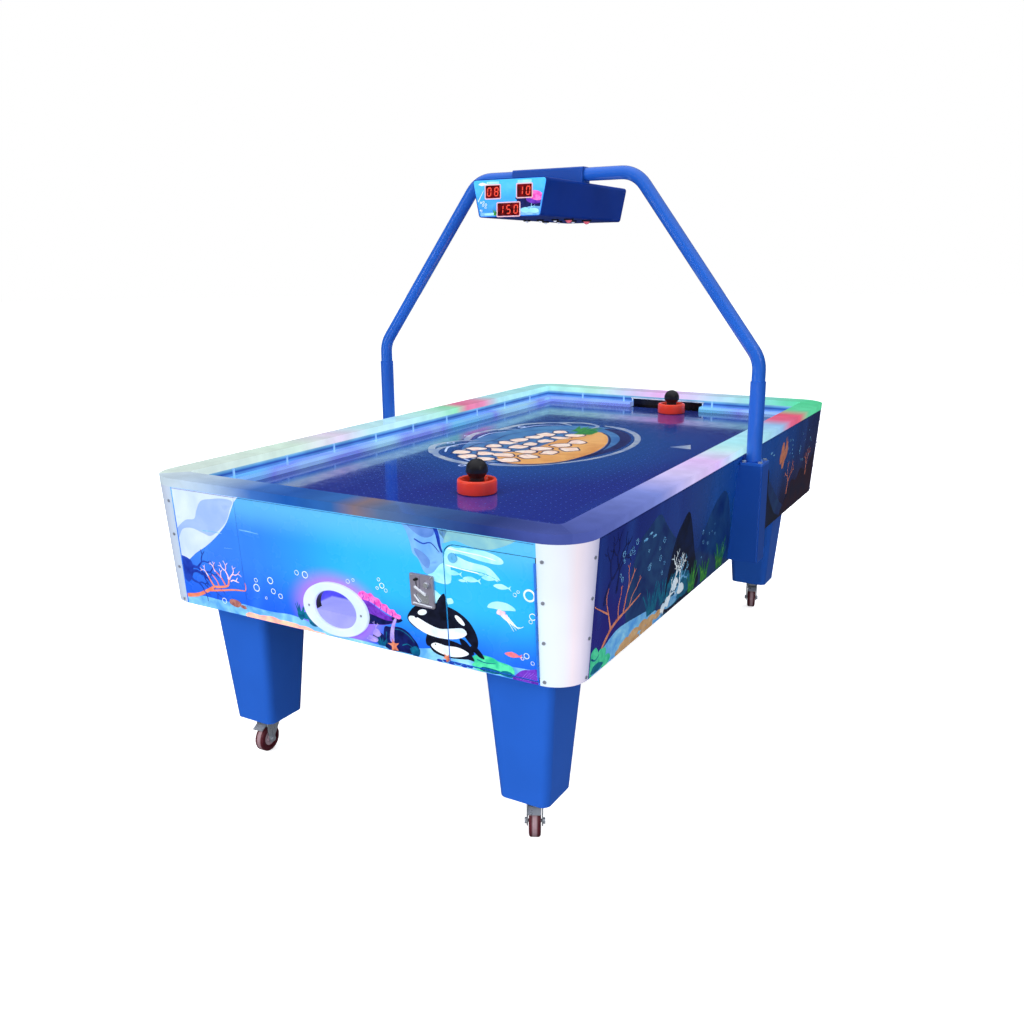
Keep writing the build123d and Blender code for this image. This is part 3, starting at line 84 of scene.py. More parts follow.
class Look:
    """A node material. Its methods add nodes and give back their output sockets."""

    def __init__(self, name, **sockets):
        self.material = bpy.data.materials.new(name)
        self.material.use_nodes = True
        self.tree = self.material.node_tree
        self.shader = self.tree.nodes["Principled BSDF"]
        self.place = self.tree.nodes.new("ShaderNodeTexCoord").outputs["Object"]
        self.put(**sockets)

    def node(self, kind, **settings):
        made = self.tree.nodes.new(kind)
        for key, value in settings.items():
            setattr(made, key, value)
        return made

    def feed(self, socket, value):
        if isinstance(value, bpy.types.NodeSocket):
            self.tree.links.new(value, socket)
        else:
            socket.default_value = value

    def put(self, **sockets):
        for key, value in sockets.items():
            self.feed(self.shader.inputs[SOCKETS[key]], value)
        return self

    def operate(self, kind, operation, values):
        made = self.node(kind, operation=operation)
        for socket, value in zip(made.inputs, values):
            self.feed(socket, value)
        return made.outputs

    def maths(self, operation, *values):
        return self.operate("ShaderNodeMath", operation, values)[0]

    def vector(self, operation, *values):
        return self.operate("ShaderNodeVectorMath", operation, values)

    def axes(self):
        made = self.node("ShaderNodeSeparateXYZ")
        self.feed(made.inputs[0], self.place)
        return made.outputs[0], made.outputs[1], made.outputs[2]

    def span(self, value, low, high, to_low=0.0, to_high=1.0):
        made = self.node("ShaderNodeMapRange", interpolation_type="SMOOTHSTEP")
        for socket, number in zip(made.inputs, (value, low, high, to_low, to_high)):
            self.feed(socket, number)
        return made.outputs[0]

    def noise(self, scale, detail=3.0, stretch=(1.0, 1.0, 1.0), distortion=0.0):
        moved = self.node("ShaderNodeMapping")
        self.feed(moved.inputs["Vector"], self.place)
        self.feed(moved.inputs["Scale"], stretch)
        made = self.node("ShaderNodeTexNoise")
        self.feed(made.inputs["Vector"], moved.outputs[0])
        self.feed(made.inputs["Scale"], scale)
        self.feed(made.inputs["Detail"], detail)
        self.feed(made.inputs["Distortion"], distortion)
        return made.outputs[0]

    def cells(self, scale):
        made = self.node("ShaderNodeTexVoronoi")
        self.feed(made.inputs["Vector"], self.place)
        self.feed(made.inputs["Scale"], scale)
        return made.outputs["Distance"]

    def ramp(self, value, *stops):
        """A colour ramp. Each stop is its place, then red, green and blue of 0 to 255."""
        made = self.node("ShaderNodeValToRGB")
        ramp = made.color_ramp
        while len(ramp.elements) < len(stops):
            ramp.elements.new(0.5)
        for element, (at, *colour) in zip(ramp.elements, stops):
            element.position = at
            element.color = rgb(*colour)
        self.feed(made.inputs[0], value)
        return made.outputs[0]

    def mix(self, share, first, second, blend="MIX"):
        made = self.node("ShaderNodeMix", data_type="RGBA", blend_type=blend)
        self.feed(made.inputs[MIX_SHARE], share)
        self.feed(made.inputs[MIX_FIRST], first)
        self.feed(made.inputs[MIX_SECOND], second)
        return made.outputs[MIX_RESULT]

    def near(self, centre, radius, soft, stretch=(1.0, 1.0, 1.0)):
        """1 inside an ellipsoid about centre, fading to 0 over soft."""
        moved = self.vector("SUBTRACT", self.place, centre)[0]
        scaled = self.vector("MULTIPLY", moved, stretch)[0]
        length = self.vector("LENGTH", scaled)["Value"]
        return self.span(length, radius, radius + soft, 1.0, 0.0)

    def along(self, centre, axis):
        """Distance from centre along an axis, on either side."""
        moved = self.vector("SUBTRACT", self.place, centre)[0]
        return self.maths("ABSOLUTE", self.vector("DOT_PRODUCT", moved, axis)["Value"])

    def bump(self, height, depth, strength=1.0):
        made = self.node("ShaderNodeBump")
        self.feed(made.inputs["Height"], height)
        self.feed(made.inputs["Distance"], depth)
        self.feed(made.inputs["Strength"], strength)
        return self.put(normal=made.outputs[0])

    def uneven(self, scale, low, high):
        """Roughness that varies between low and high."""
        return self.put(rough=self.span(self.noise(scale), 0.3, 0.7, low, high))

    def peel(self, scale, depth=0.01, strength=0.3, detail=3.0):
        """Fine bumps of the surface, with their depth in mm."""
        return self.bump(self.noise(scale, detail), depth * MM, strength)


def shade(colour, factor):
    """The colour made darker or lighter."""
    return (*(min(1.0, c * factor) for c in colour[:3]), 1.0)


def painted(name, colour, rough, grain=160.0, depth=0.004 * MM, spread=0.10, coat=0.0,
            coat_rough=0.15, **more):
    """Sprayed or powder-coated sheet: slight mottling, uneven gloss and a fine peel."""
    look = Look(name, coat=coat, coat_rough=coat_rough, **more)
    patch = look.span(look.noise(9.0, 1.0), 0.1, 0.9)
    look.put(colour=look.mix(patch, shade(colour, 1 - spread), shade(colour, 1 + spread)))
    look.put(rough=look.span(look.noise(12.0), 0.1, 0.9, rough - 0.03, rough + 0.04))
    if depth:
        look.bump(look.noise(grain, 2.0), depth, 0.08)
    return look


def metal(name, colour, rough, stretch=(1.0, 1.0, 1.0), grain=120.0, depth=0.015 * MM, spread=0.14,
          metallic=1.0):
    """Bare or plated metal, with its grain drawn out along one axis by stretch."""
    look = Look(name, metal=metallic)
    grained = look.noise(grain, 4.0, stretch)
    patch = look.noise(22.0, 3.0)
    tone = look.mix(grained, shade(colour, 1 - spread), shade(colour, 1 + spread * 0.6))
    look.put(colour=look.mix(look.span(patch, 0.35, 0.75, 0.0, 0.35), tone, shade(colour, 0.72)))
    look.put(rough=look.span(grained, 0.25, 0.75, rough - 0.06, rough + 0.10))
    return look.bump(grained, depth, 0.5)


def moulded(name, colour, rough, spread=0.08, **more):
    """Injection-moulded plastic with a faint spark-eroded texture."""
    look = Look(name, **more)
    look.put(colour=look.mix(look.noise(14.0), shade(colour, 1 - spread), shade(colour, 1 + spread)))
    look.uneven(90.0, rough - 0.04, rough + 0.08)
    return look.peel(1400.0, 0.01, 0.4, 2.0)


def ink(name, first, second, scale=40.0, third=None, glow=0.0):
    """Printed ink under the panel's clear laminate, blotched between two or three tones."""
    look = Look(name, rough=0.3, coat=0.15, coat_rough=0.08, specular=0.2, power=glow)
    blot = look.noise(scale, 4.0, distortion=0.6)
    stops = [(0.34, *first), (0.62, *second)]
    if third:
        stops.append((0.75, *third))
    tone = look.ramp(blot, *stops)
    look.put(colour=tone)
    if glow:
        look.put(glow=tone)
    return look.peel(300.0, 0.01, 0.3, 2.0)


LOOKS = {}   # by the name of a piece, or of its material in the CAD

SHADED_BOARD_DARK, SHADED_BOARD_PALE = (20, 18, 22), (44, 38, 38)   # bare board, darkened as painted shade of the cabinet's unlit inside


def printed_face(look, across, flat, up, colour):
    """A panel's colour: its print on the outer face, and bare board darkened as painted shade on the edges
    and behind.
    """
    lean = math.tan(PANEL_TILT)
    outer = look.maths("MULTIPLY_ADD", up, lean, flat + PANEL_FOOT_R - lean * PANEL_FOOT_Z)
    inward = look.maths("SUBTRACT", outer, look.maths("ABSOLUTE", across))
    bare = look.maths("GREATER_THAN", inward, PRINT_DEPTH)
    # The board behind the print is painted near black: painted shade of the unlit inside.
    shaded_fibres = look.ramp(look.noise(320.0, 4.0, (1.0, 1.0, 0.4)), (0.3, *SHADED_BOARD_DARK), (0.75, *SHADED_BOARD_PALE))
    return look.mix(bare, colour, shaded_fibres), bare


# Side print: purple-navy at the coin end, teal-navy past the arch's post, maroon at the far end.
side = Look("side_print", coat=0.2, coat_rough=0.06, specular=0.15)
side_x, side_y, side_z = side.axes()
along = side.span(side_y, -1.0, 1.0)
side_top = side.ramp(along, (0.0, 20, 36, 118), (0.14, 34, 58, 140), (0.34, 38, 82, 156),
    (0.5, 14, 82, 176), (0.72, 0, 82, 176), (0.9, 0, 68, 150), (1.0, 16, 34, 96))
side_low = side.ramp(along, (0.0, 40, 32, 130), (0.16, 22, 34, 108), (0.30, 8, 50, 112), (0.42, 6, 84, 116),
    (0.55, 4, 32, 96), (0.8, 6, 22, 72), (1.0, 44, 14, 44))
rise = side.span(side_z, 0.50, 0.72)
water = side.mix(rise, side_low, side_top)
shaft = side.span(side.noise(5.0, 2.0, (1.0, 1.6, 0.35), 0.4), 0.45, 0.75, 0.0, 0.35)
side.put(colour=printed_face(side, side_x, CORNER_X, side_z, side.mix(shaft, water, rgb(44, 96, 186)))[0])
side.uneven(18.0, 0.20, 0.30)
side.peel(260.0, 0.012, 0.4, 2.0)
LOOKS["side_print"] = side

# End print: bright lagoon blue at the top centre, royal blue at the sides and along the bottom.
end = Look("end_print", coat=0.25, coat_rough=0.06, specular=0.2)
_, end_y, end_z = end.axes()
lagoon = end.near((0.26, 0.0, 0.66), 0.10, 0.62, (1.0, 0.0, 1.5))
wide = end.ramp(lagoon, (0.0, 56, 118, 224), (0.30, 48, 124, 234), (0.58, 44, 142, 240),
                (0.82, 42, 164, 240), (1.0, 46, 172, 240))
upper = end.span(end_z, 0.68, 0.77, 0.0, 0.7)
wide = end.mix(upper, wide, rgb(98, 182, 230))
deep = end.span(end_z, 0.62, 0.48, 0.0, 0.95)
wide = end.mix(deep, wide, rgb(30, 92, 226))
shaft = end.span(end.noise(6.0, 2.0, (1.5, 1.0, 0.3), 0.5), 0.5, 0.8, 0.0, 0.25)
wide = end.mix(shaft, wide, rgb(84, 178, 244))
end.uneven(18.0, 0.20, 0.30)
end.peel(260.0, 0.012, 0.4, 2.0)

ring_low, ring_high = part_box("port_rings")
RING_X = -0.014
RING_Z = (ring_low.z + ring_high.z) / 2
halo = end.near((RING_X, ring_low.y, RING_Z), 0.060, 0.050, (0.69, 0.25, 1.0))
lit_end = end.mix(halo, wide, rgb(142, 100, 244))
faced, hidden = printed_face(end, end_y, CORNER_Y, end_z, lit_end)
end.put(colour=faced, glow=lit_end)
halo_power = end.span(halo, 0.0, 1.0, 0.12, 0.55)
end.put(power=end.maths("MULTIPLY", halo_power, end.maths("SUBTRACT", 1.0, hidden)))
LOOKS["end_print"] = end

# Corner covers: milky acrylic lit from inside, cyan at the end seam and lilac at the side seam.
glow = Look("corner_glow", rough=0.22, coat=0.4, coat_rough=0.08)
glow_x, glow_y, _ = glow.axes()
out_x = glow.maths("SUBTRACT", glow.maths("ABSOLUTE", glow_x), CORNER_X)
out_y = glow.maths("SUBTRACT", glow.maths("ABSOLUTE", glow_y), CORNER_Y)
turn = glow.maths("DIVIDE", glow.maths("ARCTAN2", out_x, out_y), math.pi / 2)
tint = glow.ramp(turn, (0.0, 200, 236, 252), (0.10, 222, 242, 254), (0.42, 240, 242, 254),
    (0.58, 255, 232, 244), (0.72, 240, 222, 246), (0.90, 196, 186, 224), (1.0, 150, 150, 205))
left_side = glow.span(glow_x, 0.1, -0.1)
tint = glow.mix(left_side, tint, rgb(196, 212, 240), "MULTIPLY")
lamp_band = glow.span(glow.noise(7.0, 2.0, (1.0, 1.0, 0.5)), 0.35, 0.7, 0.82, 1.0)
glow.put(colour=shade(rgb(235, 240, 250), 0.40), glow=tint, power=glow.maths("MULTIPLY", lamp_band, 0.66))
glow.peel(220.0, 0.01, 0.3, 2.0)
LOOKS["corner_glow"] = glow


def rail_tint(look):
    """The rails' colour-changing light: one row of tones along each side, joined at the mitres."""
    x, y, _ = look.axes()
    by_y = look.span(y, -RAIL_HALF_Y, RAIL_HALF_Y)
    by_x = look.span(x, -RAIL_HALF_X, RAIL_HALF_X)
    left = look.ramp(by_y, (0.0, 214, 232, 226), (0.13, 214, 240, 226), (0.24, 226, 214, 240),
                     (0.33, 196, 240, 248), (0.47, 190, 240, 252), (0.60, 190, 248, 236),
                     (0.68, 150, 232, 190), (0.73, 236, 130, 170), (0.80, 232, 140, 180),
                     (0.86, 180, 236, 246), (1.0, 170, 236, 240))
    right = look.ramp(by_y, (0.0, 74, 88, 164), (0.10, 126, 142, 220), (0.22, 216, 204, 252),
                      (0.34, 228, 196, 252), (0.46, 200, 246, 250), (0.54, 178, 244, 255),
                      (0.68, 176, 234, 255), (0.78, 160, 206, 252), (0.84, 236, 110, 150),
                      (0.90, 240, 96, 130), (0.95, 100, 224, 170), (1.0, 84, 222, 160))
    near = look.ramp(by_x, (0.0, 200, 218, 230), (0.10, 160, 186, 220), (0.22, 60, 110, 190),
                     (0.34, 26, 86, 172), (0.50, 46, 102, 176), (0.58, 128, 112, 122),
                     (0.66, 84, 108, 150), (0.80, 52, 88, 150), (0.92, 34, 54, 122),
                     (1.0, 70, 84, 160))
    far = look.ramp(by_x, (0.0, 170, 238, 232), (0.14, 186, 240, 226), (0.28, 206, 214, 246),
                    (0.46, 236, 186, 244), (0.60, 220, 206, 250), (0.74, 190, 222, 246),
                    (0.90, 150, 226, 226), (1.0, 84, 222, 160))
    sides = look.mix(look.maths("GREATER_THAN", x, 0.0), left, right)
    ends = look.mix(look.maths("GREATER_THAN", y, 0.0), near, far)
    past_y = look.maths("SUBTRACT", look.maths("ABSOLUTE", y), CORNER_Y)
    past_x = look.maths("SUBTRACT", look.maths("ABSOLUTE", x), CORNER_X)
    return look.mix(look.maths("GREATER_THAN", past_y, past_x), sides, ends)


# Rails: milky plastic that glows in the row of tones above.
rail = Look("rail_glow", rough=0.2, coat=0.5, coat_rough=0.05, specular=0.3)
cloud = rail.span(rail.noise(16.0, 3.0), 0.3, 0.75, 0.80, 0.98)
tints = rail_tint(rail)
rail.put(glow=tints, colour=rail.mix(0.75, tints, rgb(0, 0, 0)), power=cloud)
rail.peel(180.0, 0.01, 0.3, 2.0)
LOOKS["rail_glow"] = rail

# Light wall inside the rails: blue, with paler bands along its foot and top.
wall = Look("rail_blue_light", rough=0.25, coat=0.3, coat_rough=0.1, colour=rgb(30, 44, 110))
wall_z = wall.axes()[2]
band = wall.span(wall_z, 0.742, 0.793)
lit = wall.ramp(band, (0.0, 100, 120, 236), (0.30, 88, 158, 240), (0.47, 34, 74, 176),
                (0.60, 84, 160, 230), (0.82, 160, 226, 248), (1.0, 150, 216, 246))
bars = wall.span(wall.noise(9.0, 2.0, (1.0, 1.0, 0.1)), 0.35, 0.65, 0.72, 1.0)
wall.put(glow=lit, power=wall.maths("MULTIPLY", bars, 0.85))
wall.peel(150.0, 0.01, 0.3, 2.0)
LOOKS["rail_blue_light"] = wall

# Puck rail: bare metal, with the light wall's blue painted on it as a glowing painted reflection.
puck_rail = metal("puck_rail_metal", rgb(120, 160, 220), 0.22, (1.0, 0.06, 1.0), 160.0)
painted_wall_reflection = puck_rail.ramp(puck_rail.noise(3.0, 2.0), (0.35, 120, 206, 250), (0.5, 136, 150, 246),
    (0.65, 170, 226, 250))
puck_rail.put(glow=painted_wall_reflection, power=0.62)
LOOKS["puck_rail_metal"] = puck_rail

# Playfield: glossy deep blue laminate with rows of tiny air holes.
HOLE_PITCH, HOLE_R = 0.028, 0.0011
play = Look("playfield_gloss", coat=0.22, coat_rough=0.03, specular=0.3)
play_x, play_y, _ = play.axes()


def off_grid(look, value):
    """Offset from the middle of a cell of the hole grid, where the hole is."""
    cell = look.maths("FRACT", look.maths("DIVIDE", value, HOLE_PITCH))
    return look.maths("MULTIPLY", look.maths("SUBTRACT", cell, 0.5), HOLE_PITCH)


def grid_distance(look, x, y):
    """Distance to the middle of the nearest air hole."""
    squared = [look.maths("POWER", look.maths("ABSOLUTE", off_grid(look, v)), 2.0) for v in (x, y)]
    return look.maths("SQRT", look.maths("ADD", *squared))


hole = grid_distance(play, play_x, play_y)
glaze = play.near((-0.07, 0.10, 0.738), 0.30, 0.30, (1.0, 0.8, 0.0))
deep_blue = play.mix(glaze, rgb(30, 48, 140), rgb(28, 80, 158))
far_tone = play.span(play_y, 0.3, 1.0, 0.0, 0.6)
deep_blue = play.mix(far_tone, deep_blue, rgb(34, 38, 100))
streak = play.span(play.noise(7.0, 3.0, (1.0, 0.25, 1.0)), 0.4, 0.8, 0.0, 0.3)
deep_blue = play.mix(streak, deep_blue, rgb(36, 84, 168))
rim = play.span(hole, HOLE_R * 1.1, HOLE_R * 1.9, 1.0, 0.0)
# The inside of each hole is painted near black: painted shade in the hole.
pit = play.span(hole, HOLE_R * 0.7, HOLE_R, 1.0, 0.0)
deep_blue = play.mix(rim, deep_blue, rgb(86, 120, 196))
play.put(colour=play.mix(pit, deep_blue, rgb(6, 10, 34)))
play.uneven(30.0, 0.08, 0.16)
play.bump(play.span(hole, HOLE_R * 0.8, HOLE_R * 1.2), 0.4 * MM, 1.0)
LOOKS["playfield_gloss"] = play

# Painted sheet, bare metal and moulded plastic.
LOOKS["blue_paint"] = painted("blue_paint", rgb(36, 94, 196), 0.30, spread=0.05, coat=0.25, specular=0.3)
LOOKS["housing_paint"] = painted("housing_paint", rgb(10, 52, 142), 0.38, specular=0.08)
LOOKS["screw_steel"] = metal("screw_steel", rgb(168, 174, 190), 0.35, grain=400.0, metallic=0.6)
LOOKS["bolt_zinc"] = metal("bolt_zinc", rgb(214, 220, 230), 0.25, grain=300.0, metallic=0.7)
LOOKS["castor_zinc"] = metal("castor_zinc", rgb(206, 212, 222), 0.30, (1.0, 1.0, 0.3), 90.0, metallic=0.65)
LOOKS["hinge_steel"] = painted("hinge_steel", rgb(44, 116, 214), 0.32, grain=300.0, coat=0.2)
LOOKS["door_lock"] = painted("lock_face", rgb(96, 176, 226), 0.25, grain=300.0, coat=0.3)
LOOKS["arch_tube"] = painted("tube_paint", rgb(36, 98, 200), 0.2, depth=0.0, spread=0.05, coat=0.6,
    coat_rough=0.05, specular=0.4)
LOOKS["post_boxes"] = painted("post_box_paint", rgb(26, 76, 168), 0.32, spread=0.05, coat=0.2, specular=0.25)
LOOKS["scoreboard_saddle"] = painted("saddle_paint", rgb(24, 74, 164), 0.3, spread=0.05, coat=0.2,
    specular=0.2)
# The lever's chrome is pale and mostly non-metallic: a painted reflection of the bright studio.
LEVER = metal("lever_chrome", rgb(232, 238, 250), 0.18, grain=80.0, spread=0.05, metallic=0.25)
LOOKS["coin_metal"] = metal("coin_metal", rgb(176, 172, 192), 0.42, (0.15, 1.0, 1.0), 260.0, metallic=0.6)
LOOKS["chrome_trim"] = metal("chrome_trim", rgb(236, 240, 248), 0.10, grain=60.0, spread=0.06, metallic=0.8)
LOOKS["cash_steel"] = metal("cash_steel", rgb(150, 154, 160), 0.45, (1.0, 0.2, 1.0), 80.0, metallic=0.45)
LOOKS["blower_sheet"] = metal("blower_sheet", rgb(140, 146, 152), 0.48, (0.3, 1.0, 1.0), 60.0, metallic=0.45)
LOOKS["motor_grey"] = painted("motor_grey", rgb(74, 78, 84), 0.5)
LOOKS["impeller_plastic"] = moulded("impeller_plastic", rgb(36, 38, 42), 0.45)
LOOKS["black_plastic"] = moulded("black_plastic", rgb(20, 21, 24), 0.42)
LOOKS["rocker_red"] = moulded("rocker_red", rgb(196, 26, 26), 0.3)
LOOKS["mallet_red"] = moulded("mallet_red", rgb(232, 62, 36), 0.32, coat=0.3, coat_rough=0.1)
LOOKS["mallet_black"] = moulded("mallet_black", rgb(22, 20, 24), 0.4)
LOOKS["puck_yellow"] = moulded("puck_yellow", rgb(236, 196, 40), 0.35, subsurface=0.1)
LOOKS["circuit_green"] = painted("circuit_green", rgb(22, 96, 52), 0.4)

# Bare board inside the cabinet.
board = Look("board")
fibre = board.noise(320.0, 4.0, (1.0, 1.0, 0.4))
board.put(colour=board.ramp(fibre, (0.3, 112, 84, 58), (0.6, 146, 114, 82), (0.8, 168, 138, 104)))
board.put(rough=board.span(fibre, 0.2, 0.8, 0.62, 0.82))
board.bump(fibre, 0.1 * MM, 0.6)
LOOKS["board"] = board

# Light strips inside the rails and corner covers.
strip = Look("light_strip", rough=0.3, colour=rgb(230, 235, 245))
strip.put(glow=strip.ramp(strip.cells(60.0), (0.1, 220, 236, 255), (0.6, 110, 160, 250)), power=0.5)
LOOKS["light_strip"] = strip

# Puck return chute: white plastic given a painted glow, pale on its floor and blue-violet on its back, and
# painted shade above.
chute = Look("chute_white", rough=0.35, specular=0.2)
tone = chute.ramp(chute.noise(16.0), (0.35, 62, 60, 196), (0.65, 96, 92, 220))
chute_z = chute.axes()[2]
lower = chute.span(chute_z, RING_Z - 0.002, RING_Z - 0.008)
# The pale and blue-violet glow is painted light on the white chute.
chute.put(glow=chute.mix(lower, tone, rgb(190, 196, 250)), power=chute.span(chute_z, 0.60, 0.66, 0.60, 0.0))
# Near black higher up: painted shade inside the cabinet.
chute.put(colour=chute.mix(chute.span(chute_z, 0.62, 0.68), tone, rgb(10, 12, 30)))
chute.peel(200.0, 0.02, 0.4)
LOOKS["chute_white"] = chute

# Ring round each puck return port.
port = Look("port_glow", rough=0.25, coat=0.5, coat_rough=0.05, colour=rgb(150, 164, 190))
cool = port.ramp(port.noise(14.0), (0.35, 214, 240, 255), (0.7, 244, 248, 255))
port.put(glow=cool, power=0.62)
port.peel(240.0)
LOOKS["port_glow"] = port

# Scoreboard face: lit sea blue, paler upwards.
face = Look("score_print", coat=0.4, coat_rough=0.08, rough=0.25)
face_z = face.axes()[2]
tone = face.ramp(face.span(face_z, 1.44, 1.545), (0.0, 44, 128, 226), (0.5, 46, 150, 240),
    (1.0, 58, 172, 246))
haze = face.span(face.noise(26.0, 3.0), 0.45, 0.75, 0.0, 0.4)
tone = face.mix(haze, tone, rgb(96, 190, 250))
face.put(colour=tone, glow=tone, power=0.42)
face.peel(300.0)
LOOKS["score_print"] = face

# Dark red window behind the numerals.
display = Look("display_red", rough=0.12, coat=0.6, coat_rough=0.03)
tone = display.ramp(display.noise(60.0), (0.35, 44, 4, 8), (0.7, 110, 8, 14))
display.put(colour=tone, glow=tone, power=0.6)
display.peel(500.0)
LOOKS["display_red"] = display

# Lamps below the scoreboard: clear, with a red pair at one end.
lamp = Look("lamp_clear", rough=0.12, coat=0.6, coat_rough=0.04)
lamp_x = lamp.axes()[0]
tone = lamp.mix(lamp.maths("GREATER_THAN", lamp_x, 0.055), rgb(222, 228, 242), rgb(232, 106, 120))
lamp.put(colour=tone, glow=tone, power=lamp.span(lamp.noise(160.0), 0.3, 0.7, 0.15, 0.45))
lamp.bump(lamp.cells(500.0), 0.15 * MM, 0.5)
LOOKS["lamp_clear"] = lamp

# Castor wheels: maroon tyres with a painted highlight along the middle of the tread, on pink-grey cores.
AXLES = {joint["child"]: joint["axis"] for joint in frame["joints"]}
for place in PLACES:
    low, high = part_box(f"castor_wheel_{place}")
    hub = (low + high) / 2
    wheel = Look(f"wheel_maroon_{place}")
    radial = wheel.near(hub, 0.0225, 0.0015)
    tyre = wheel.mix(wheel.noise(70.0, 3.0), rgb(58, 16, 26), rgb(92, 32, 42))
    # A pale band along the middle of the tread: a painted highlight of the glossy tyre.
    tread_highlight = wheel.mix(wheel.noise(120.0, 3.0), rgb(138, 108, 118), rgb(172, 146, 152))
    tread = wheel.span(wheel.along(hub, AXLES[f"wheel_{place}"]), 0.003, 0.008, 1.0, 0.0)
    tyre = wheel.mix(tread, tyre, tread_highlight)
    core = wheel.mix(wheel.noise(50.0, 3.0), rgb(158, 132, 142), rgb(186, 166, 174))
    wheel.put(colour=wheel.mix(radial, tyre, core))
    wheel.uneven(90.0, 0.38, 0.55)
    wheel.peel(700.0, 0.05, 0.5)
    LOOKS[f"castor_wheel_{place}"] = wheel

# Every CAD piece takes the look of its own name, or else that of its CAD material.
for name, node in NODES.items():
    for held in node.material_slots:
        chosen = LOOKS.get(name) or LOOKS[held.material.name.split(".")[0]]
        held.material = chosen.material

# First tone, second tone, scale of the blotches, third tone and glow of each ink.
INK_TONES = {
    "seabed": ((84, 158, 232), (136, 204, 244), 28.0, (170, 224, 250), 0.08),
    "peach": ((254, 206, 172), (246, 156, 150), 30.0, (255, 226, 196), 0.25),
    "sand": ((196, 146, 96), (226, 184, 136), 30.0, (238, 206, 160)),
    "teal": ((8, 70, 118), (16, 118, 150), 60.0),
    "navy": ((24, 46, 150), (34, 70, 184), 40.0),
    "coral": ((232, 122, 92), (240, 150, 124), 60.0, (206, 92, 84)),
    "tips": ((244, 190, 206), (250, 228, 238), 80.0),
    "pink": ((222, 62, 178), (244, 128, 208), 90.0, (178, 44, 170), 0.1),
    "purple": ((84, 34, 160), (120, 60, 200), 70.0),
    "midnight": ((10, 16, 66), (22, 32, 100), 60.0),
    "lilac": ((138, 124, 224), (190, 170, 240), 50.0),
    "green": ((40, 184, 140), (90, 226, 170), 44.0, (10, 104, 120), 0.06),
    "leaf": ((18, 106, 70), (70, 160, 62), 60.0, (128, 190, 70)),
    "white": ((206, 232, 250), (242, 250, 255), 30.0, None, 0.1),
    "black": ((10, 12, 24), (22, 26, 46), 50.0),
    "ice": ((136, 214, 240), (178, 236, 244), 26.0, (204, 246, 248), 0.08),
    "stone": ((92, 150, 226), (120, 178, 234), 20.0, (84, 130, 212), 0.06),
    "shadow": ((78, 120, 200), (104, 148, 216), 24.0, (66, 104, 186)),
    "ash": ((104, 168, 196), (136, 190, 196), 14.0, (88, 150, 196), 0.05),
    # The next two tones paint the front panel's reflection; the first also prints the emblem's foam.
    "reflection_and_foam": ((176, 196, 238), (196, 212, 244), 12.0, (164, 186, 234), 0.22),
    "reflection_fade": ((138, 168, 232), (156, 182, 236), 12.0, (126, 156, 228), 0.12),
    "red": ((226, 84, 112), (246, 130, 140), 120.0),
    "brown": ((140, 84, 88), (186, 124, 112), 80.0),
    "hill": ((14, 40, 104), (34, 74, 124), 14.0, (20, 54, 112)),
    "crag": ((4, 12, 38), (10, 26, 66), 26.0),
    "wine": ((14, 16, 54), (48, 16, 42), 22.0, (12, 22, 66)),
    "rust": ((206, 112, 84), (232, 150, 120), 70.0),
    "sky": ((96, 166, 226), (140, 204, 242), 50.0),
    "wave": ((118, 142, 186), (176, 184, 196), 18.0, (84, 116, 178), 0.03),
    "surf": ((50, 104, 172), (84, 138, 190), 12.0, (36, 78, 150)),
    "beach": ((222, 150, 84), (244, 184, 112), 12.0, (214, 168, 130), 0.04),
    "pebble": ((248, 206, 186), (255, 240, 228), 30.0, (240, 170, 150), 0.1),
    "outline": ((20, 28, 84), (34, 44, 108), 30.0),
    "violet": ((92, 50, 176), (146, 104, 220), 110.0, None, 0.05),
}
INKS = {name: ink(f"ink_{name}", *tones) for name, tones in INK_TONES.items()}

# ---------------------------------------------------------------- planes and flat shapes


def plane(origin, across, up):
    """Matrix from (across, up, out) in mm to the frame in metres."""
    across, up = Vector(across).normalized(), Vector(up).normalized()
    out = across.cross(up)
    turned = Matrix((across, up, out)).transposed().to_4x4()
    return Matrix.Translation(Vector(origin)) @ turned @ Matrix.Scale(MM, 4)


def panel_plane(side_sign_x, side_sign_y):
    """Plane on a flared panel: its origin is the middle of the outer bottom edge."""
    node = "side_panels" if side_sign_x else ("end_panel_front" if side_sign_y < 0 else "end_panel_back")
    low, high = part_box(node)
    lean = math.tan(PANEL_TILT) * (high.z - low.z)
    if side_sign_x:
        origin = (side_sign_x * (high.x - lean), 0.0, low.z)
        across = (0.0, side_sign_x, 0.0)
        up = (side_sign_x * math.sin(PANEL_TILT), 0.0, math.cos(PANEL_TILT))
    else:
        reach = -low.y if side_sign_y < 0 else high.y
        origin = (0.0, side_sign_y * (reach - lean), low.z)
        across = (-side_sign_y, 0.0, 0.0)
        up = (0.0, side_sign_y * math.sin(PANEL_TILT), math.cos(PANEL_TILT))
    return plane(origin, across, up)


FRONT, BACK = panel_plane(0, -1), panel_plane(0, 1)
RIGHT, LEFT = panel_plane(1, 0), panel_plane(-1, 0)
TABLE = plane((0.0, 0.0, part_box("playfield")[1].z), (1, 0, 0), (0, 1, 0))


def smooth(points, steps=5, closed=True):
    """A smooth line through a few points."""
    count = len(points)
    made = []
    for i in range(count if closed else count - 1):
        if closed:
            a, b, c, d = (Vector(points[(i + k) % count]) for k in (-1, 0, 1, 2))
        else:
            a, b, c, d = (Vector(points[min(max(i + k, 0), count - 1)]) for k in (-1, 0, 1, 2))
        for s in range(steps):
            t = s / steps
            made.append(0.5 * (2 * b + (c - a) * t + (2 * a - 5 * b + 4 * c - d) * t * t
                               + (3 * b - a - 3 * c + d) * t ** 3))
    if not closed:
        made.append(Vector(points[-1]))
    return made


def curve(*points):
    """A closed smooth outline."""
    return smooth(points, 4)


